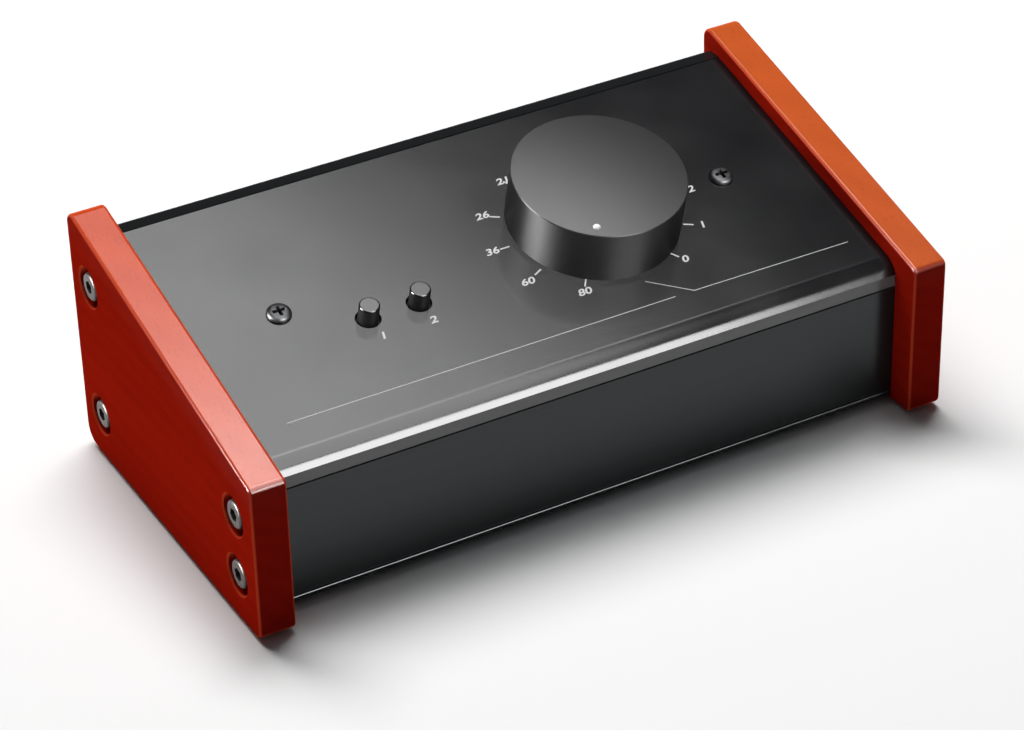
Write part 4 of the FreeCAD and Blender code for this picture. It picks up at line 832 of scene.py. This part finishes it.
# The top is crowned, which spreads its gloss. Below it are the rim, a recess for the nut and the
# bore for the shaft.
KNOB_REACH, KNOB_TOP, CROWN, CHAMFER, CROWN_STEPS = 23.0, 17.05, 0.68, 0.2, 18
profile = [(0, KNOB_TOP)]
for i in range(1, CROWN_STEPS + 1):
    reach = (KNOB_REACH - CHAMFER) * i / CROWN_STEPS
    profile.append((reach, KNOB_TOP - CROWN * (reach / KNOB_REACH) ** 2))
profile += [(KNOB_REACH, KNOB_TOP - CROWN - CHAMFER), (KNOB_REACH, 1.15), (22.65, 0.8), (10, 0.8),
            (10, 6.4), (3.04, 6.4), (3.04, 14.5), (0, 14.5)]
knob = turned("turned_knob", profile, 160)
# The channel for the grub screw runs up the slope from the bore.
CHANNEL_REACH = 0.00155
tool = bmesh.new()
bmesh.ops.create_cone(
    tool, cap_ends=True, segments=24, radius1=CHANNEL_REACH, radius2=CHANNEL_REACH, depth=0.026,
    matrix=Matrix.Translation((0, 0.0155, 0.0103)) @ Matrix.Rotation(math.pi / 2, 4, "X"))
knob = cut_away(knob, tool)
for finish in (turned_rim, faced_top):
    knob.materials.append(finish)
for face in knob.polygons:
    face.material_index = 1 if face.normal.z > 0.99 and face.center.z > 0.016 else 0
knob.transform(panel_matrix(KNOB_X, KNOB_S))
add_piece("turned_knob", even_normals(smooth_by_angle(knob, 30)), None, "volume_knob",
          "knob_metal", "attenuation_knob")

pointer_paint = sprayed("white pointer paint", (0.90, 0.90, 0.89), (0.95, 0.95, 0.94), 0.5, 4000.0,
                        mirror=0.3)
POINTER_TURN, POINTER_REACH = -121.8, 19.8
spot = mark_spot(POINTER_TURN, POINTER_REACH) / 1000
level = KNOB_TOP - CROWN * (POINTER_REACH / KNOB_REACH) ** 2
dot = turned("paint_dot", [
    (0, level + 0.5), (0.4, level + 0.46), (0.7, level + 0.36), (0.9, level + 0.22),
    (1.02, level + 0.02), (1.05, level - 0.1), (1.05, level - 0.3), (0, level - 0.3)], 40)
dot.transform(panel_matrix(KNOB_X, KNOB_S) @ Matrix.Translation(spot))
add_piece("paint_dot", smooth_by_angle(dot, 40), pointer_paint, "volume_knob", "white_paint",
          "pointer_dot")
dress_node("knob_set_screw", black_steel)


# ---------------------------------------------------------------- wooden cheeks
# Two boards of close-grained hardwood, sawn to the slope of the panel, sanded round on every
# edge, stained red and sprayed with a satin lacquer. The rounded edges are painted a lighter red,
# partly stain thinned by sanding and partly a painted highlight. The sloped tops are painted
# lighter and more orange as painted light, and the ends darker, partly end grain and partly painted
# shade.


# Growth rings, figure and pores of a board whose grain runs along Y.
wood_group, source, sink = new_group("wood grain", {"Vector": "Vector", "Ring Scale": "Float"},
                                     {"Figure": "Float", "Rings": "Float", "Pores": "Float"})
stretch = add_node(wood_group, "ShaderNodeMapping", {
    "Vector": source.outputs["Vector"], "Scale": (1.0, 0.12, 1.0)})
sway = add_node(wood_group, "ShaderNodeTexNoise", {
    "Vector": stretch.outputs["Vector"], "Scale": 28.0, "Detail": 3.0})
push = add_node(wood_group, "ShaderNodeVectorMath", {0: sway.outputs["Color"], "Scale": 0.012},
                operation="SCALE")
bent = add_node(wood_group, "ShaderNodeVectorMath", {
    0: stretch.outputs["Vector"], 1: push.outputs["Vector"]}, operation="ADD")
rings = add_node(wood_group, "ShaderNodeTexWave", {
    "Vector": bent.outputs["Vector"], "Scale": source.outputs["Ring Scale"], "Distortion": 0.6,
    "Detail": 2.0, "Detail Scale": 1.4}, wave_type="RINGS", rings_direction="Y")
wood_group.links.new(rings.outputs["Fac"], sink.inputs["Rings"])
figure = add_node(wood_group, "ShaderNodeTexNoise", {
    "Vector": stretch.outputs["Vector"], "Scale": 45.0, "Detail": 4.0, "Roughness": 0.6})
wood_group.links.new(figure.outputs["Fac"], sink.inputs["Figure"])
fine = add_node(wood_group, "ShaderNodeMapping", {
    "Vector": source.outputs["Vector"], "Scale": (1.0, 0.035, 1.0)})
pores = add_node(wood_group, "ShaderNodeTexNoise", {
    "Vector": fine.outputs["Vector"], "Scale": 2200.0, "Detail": 1.0, "Roughness": 0.4})
wood_group.links.new(map_range(wood_group, pores.outputs["Fac"], 0.62, 0.7), sink.inputs["Pores"])

# 1 on rounded edges and 0 on the flat faces of a cheek, told by whether the surface faces across,
# along, up or square to the sloped top.
edge_group, source, sink = new_group("sanded edge", {"Normal": "Vector"}, {"Edge": "Float"})
facing = None
for way in ((1, 0, 0), (0, 1, 0), (0, 0, 1), (0, -0.2447, 0.9696)):
    dot = add_node(edge_group, "ShaderNodeVectorMath", {0: source.outputs["Normal"], 1: way},
                   operation="DOT_PRODUCT")
    size = math_node(edge_group, "ABSOLUTE", dot.outputs["Value"])
    facing = size if facing is None else math_node(edge_group, "MAXIMUM", facing, size)
edge_group.links.new(map_range(edge_group, facing, 0.985, 0.86), sink.inputs["Edge"])

CHEEK_MIDDLE, CHEEK_HALF = 0.095, 0.005


def stained_wood(name, heart, lit_top_tones):
    """Red stained wood whose growth rings centre on heart, in metres. End grain drinks the most
    stain and is darkest, and this darkening is also painted shade on the front and rear ends.
    The sloped top is painted lighter and more orange than the sides: painted light on the top.
    The lacquer is sprayed from above and lies thickest on the top."""
    material, tree, shader, spots = new_material(name)
    shift = add_node(tree, "ShaderNodeMapping", {
        "Vector": spots.outputs["Object"], "Location": heart, "Rotation": (0.035, 0.0, 0.02)})
    grain = use_group(tree, wood_group, {"Vector": shift.outputs["Vector"], "Ring Scale": 62.0})
    edge = use_group(tree, edge_group, {"Normal": spots.outputs["Normal"]})
    way = add_node(tree, "ShaderNodeSeparateXYZ", {"Vector": spots.outputs["Normal"]})
    # Faces across the grain, the front and rear ends, are painted darker: partly end grain that
    # takes more stain, partly painted shade.
    end_grain_and_shade_mask = map_range(tree, math_node(tree, "ABSOLUTE", way.outputs["Y"]), 0.45, 0.9)
    along = add_node(tree, "ShaderNodeSeparateXYZ", {"Vector": spots.outputs["Object"]})
    # The sloped top alone, without the counterbores below it.
    lift = math_node(tree, "SUBTRACT", along.outputs["Z"],
                     math_node(tree, "MULTIPLY", along.outputs["Y"], math.tan(PANEL_SLOPE)))
    on_top = map_range(tree, lift, 0.050, 0.055)
    upward = math_node(tree, "MULTIPLY", map_range(tree, way.outputs["Z"], 0.35, 0.9), on_top)
    tone = math_node(tree, "ADD", math_node(tree, "MULTIPLY", grain.outputs["Rings"], 0.3),
                     map_range(tree, grain.outputs["Figure"], 0.3, 0.7, 0.1, 0.65), clamp=True)
    face = blend_colour(tree, tone, (0.34, 0.0095, 0.0028), (0.43, 0.0135, 0.0040))
    # The top colour is painted lighter and more orange than the sides: painted light on the top.
    top = blend_colour(tree, tone, *lit_top_tones)
    end = blend_colour(tree, tone, (0.165, 0.005, 0.0022), (0.21, 0.007, 0.003))
    colour = blend_colour(tree, end_grain_and_shade_mask, blend_colour(tree, upward, face, top), end)
    # Rounded edges are blended towards a lighter red: partly stain thinned by sanding, partly a
    # painted highlight along the edges.
    colour = blend_colour(tree, math_node(tree, "MULTIPLY", edge.outputs["Edge"], 0.6), colour,
                          (0.62, 0.075, 0.030))
    pore_mask = math_node(tree, "MULTIPLY", grain.outputs["Pores"], 0.14)
    colour = blend_colour(tree, pore_mask, colour, (0.10, 0.006, 0.003))
    forward = math_node(tree, "POWER", map_range(tree, along.outputs["Y"], 0.05, -0.042), 2.0)
    lacquer = math_node(tree, "MULTIPLY", map_range(tree, way.outputs["Z"], 0.25, 0.9, 0.03, 1.0),
                        map_range(tree, forward, 0.0, 1.0, 0.36, 1.0))
    lacquer = math_node(tree, "MULTIPLY", lacquer, on_top)
    # Sanding leaves the 10 mm wide top slightly crowned across.
    off_middle = math_node(tree, "SUBTRACT", math_node(tree, "ABSOLUTE", along.outputs["X"]),
                           CHEEK_MIDDLE)
    crown = math_node(tree, "POWER", math_node(tree, "DIVIDE", off_middle, CHEEK_HALF), 2.0)
    crown = math_node(tree, "MULTIPLY", math_node(tree, "MULTIPLY", crown, upward), 7.0)
    hollow = math_node(tree, "MULTIPLY", grain.outputs["Pores"], -1.0)
    depth = math_node(tree, "SUBTRACT", hollow, crown)
    depth = math_node(tree, "ADD", depth, math_node(tree, "MULTIPLY", grain.outputs["Figure"], 0.5))
    feed(tree, shader, {
        "Base Color": colour, "Coat Weight": lacquer, "Coat Roughness": 0.16,
        "Roughness": map_range(tree, grain.outputs["Figure"], 0.3, 0.7, 0.46, 0.56),
        "Specular IOR Level": 0.0, "Normal": bump(tree, depth, 0.00002)})
    return material


# The right cheek's top is painted more orange than the left's: painted light on the top.
dress_node("left_cheek", stained_wood("red stained wood left", (0.125, 0.0, 0.03),
                                      ((0.50, 0.050, 0.009), (0.60, 0.068, 0.013))))
dress_node("right_cheek", stained_wood("red stained wood right", (-0.08, 0.0, 0.02),
                                       ((0.51, 0.086, 0.016), (0.60, 0.103, 0.021))))


# ---------------------------------------------------------------- steel screws through the cheeks
# Machine screws with a broad, nearly flat head and a hexagon socket, plated steel, four in each
# cheek. Each head fills its counterbore to just under the face, and the shank runs into a port
# of the extrusions.


screw_steel = plain_metal("bright screw steel", (0.045, 0.042, 0.040), (0.070, 0.065, 0.062), 0.40)


def hexagon_recess(mesh, flats, deep, level):
    """Cut a hexagon socket with a cone-shaped floor into the top of a turned head."""
    tool = bmesh.new()
    reach = flats / 2 / math.cos(math.pi / 6) / 1000
    top = [tool.verts.new((reach * math.cos(math.pi / 3 * i), reach * math.sin(math.pi / 3 * i),
                           (level + 1) / 1000)) for i in range(6)]
    low = [tool.verts.new((v.co.x, v.co.y, (level - deep) / 1000)) for v in top]
    tip = tool.verts.new((0, 0, (level - deep - 0.35) / 1000))
    tool.faces.new(top)
    for i in range(6):
        j = (i + 1) % 6
        tool.faces.new((top[i], low[i], low[j], top[j]))
        tool.faces.new((low[i], tip, low[j]))
    bmesh.ops.recalc_face_normals(tool, faces=tool.faces)
    return cut_away(mesh, tool)


cheek_screw = turned("cheek_screw", [
    (0, 3.95), (3.0, 3.92), (3.4, 3.85), (3.62, 3.7), (3.75, 3.45), (3.8, 3.15),
    (3.8, 0.15), (3.7, 0.0), (1.7, 0.0), (1.7, -14.6), (1.3, -15.2), (0, -15.2)])
cheek_screw = hexagon_recess(cheek_screw, 3.2, 2.2, 3.95)
# The floor of the counterbores, and where each screw stands from front to rear and above the desk.
CHEEK_SEAT_X = 95.8
CHEEK_SEATS = ((-40.4, 14.2), (-40.4, 31.95), (40.9, 14.2), (40.9, 52.97))
for side, node_name in ((-1, "left_cheek_screws"), (1, "right_cheek_screws")):
    spots = [(side * CHEEK_SEAT_X / 1000, y / 1000, z / 1000) for y, z in CHEEK_SEATS]
    mesh = seat_screws(f"{node_name}_steel", cheek_screw, spots, (0, side * math.pi / 2, 0),
                       5 + side, screw_steel)
    add_piece(f"{node_name}_steel", mesh, None, "case", "black_screw_steel", node_name)


# ---------------------------------------------------------------- underside
# Countersunk black screws hold the brackets and the board spacers to the floor, and four black
# rubber feet are glued near the corners.

dress_node("floor_screws", black_steel)
rubber = sprayed("black rubber", (0.010, 0.010, 0.010), (0.018, 0.018, 0.018), 0.75, 2200.0,
                 0.00002)
dress_node("rubber_feet", rubber)


# ---------------------------------------------------------------- light past the knob and the caps
# The softbox and the stronger panel card shine past the knob, the caps and what is inside them,
# so these throw no shadow on the print and leave only a faint image of themselves on the panel.


passed = bpy.data.collections.new("passed_by_open_card")
for name in ("turned_knob", "paint_dot", "mono_cap_moulding", "mute_cap_moulding"):
    passed.objects.link(bpy.data.objects[name])
for name in ("knob_set_screw", "attenuator_shaft", "attenuator_bushing", "bushing_nut",
             "bushing_washer", "mono_switch_plunger", "mute_switch_plunger"):
    passed.objects.link(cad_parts[name])
for item in passed.collection_objects:
    item.light_linking.link_state = "EXCLUDE"
for light in (softbox, open_panel_card):
    light.light_linking.blocker_collection = passed
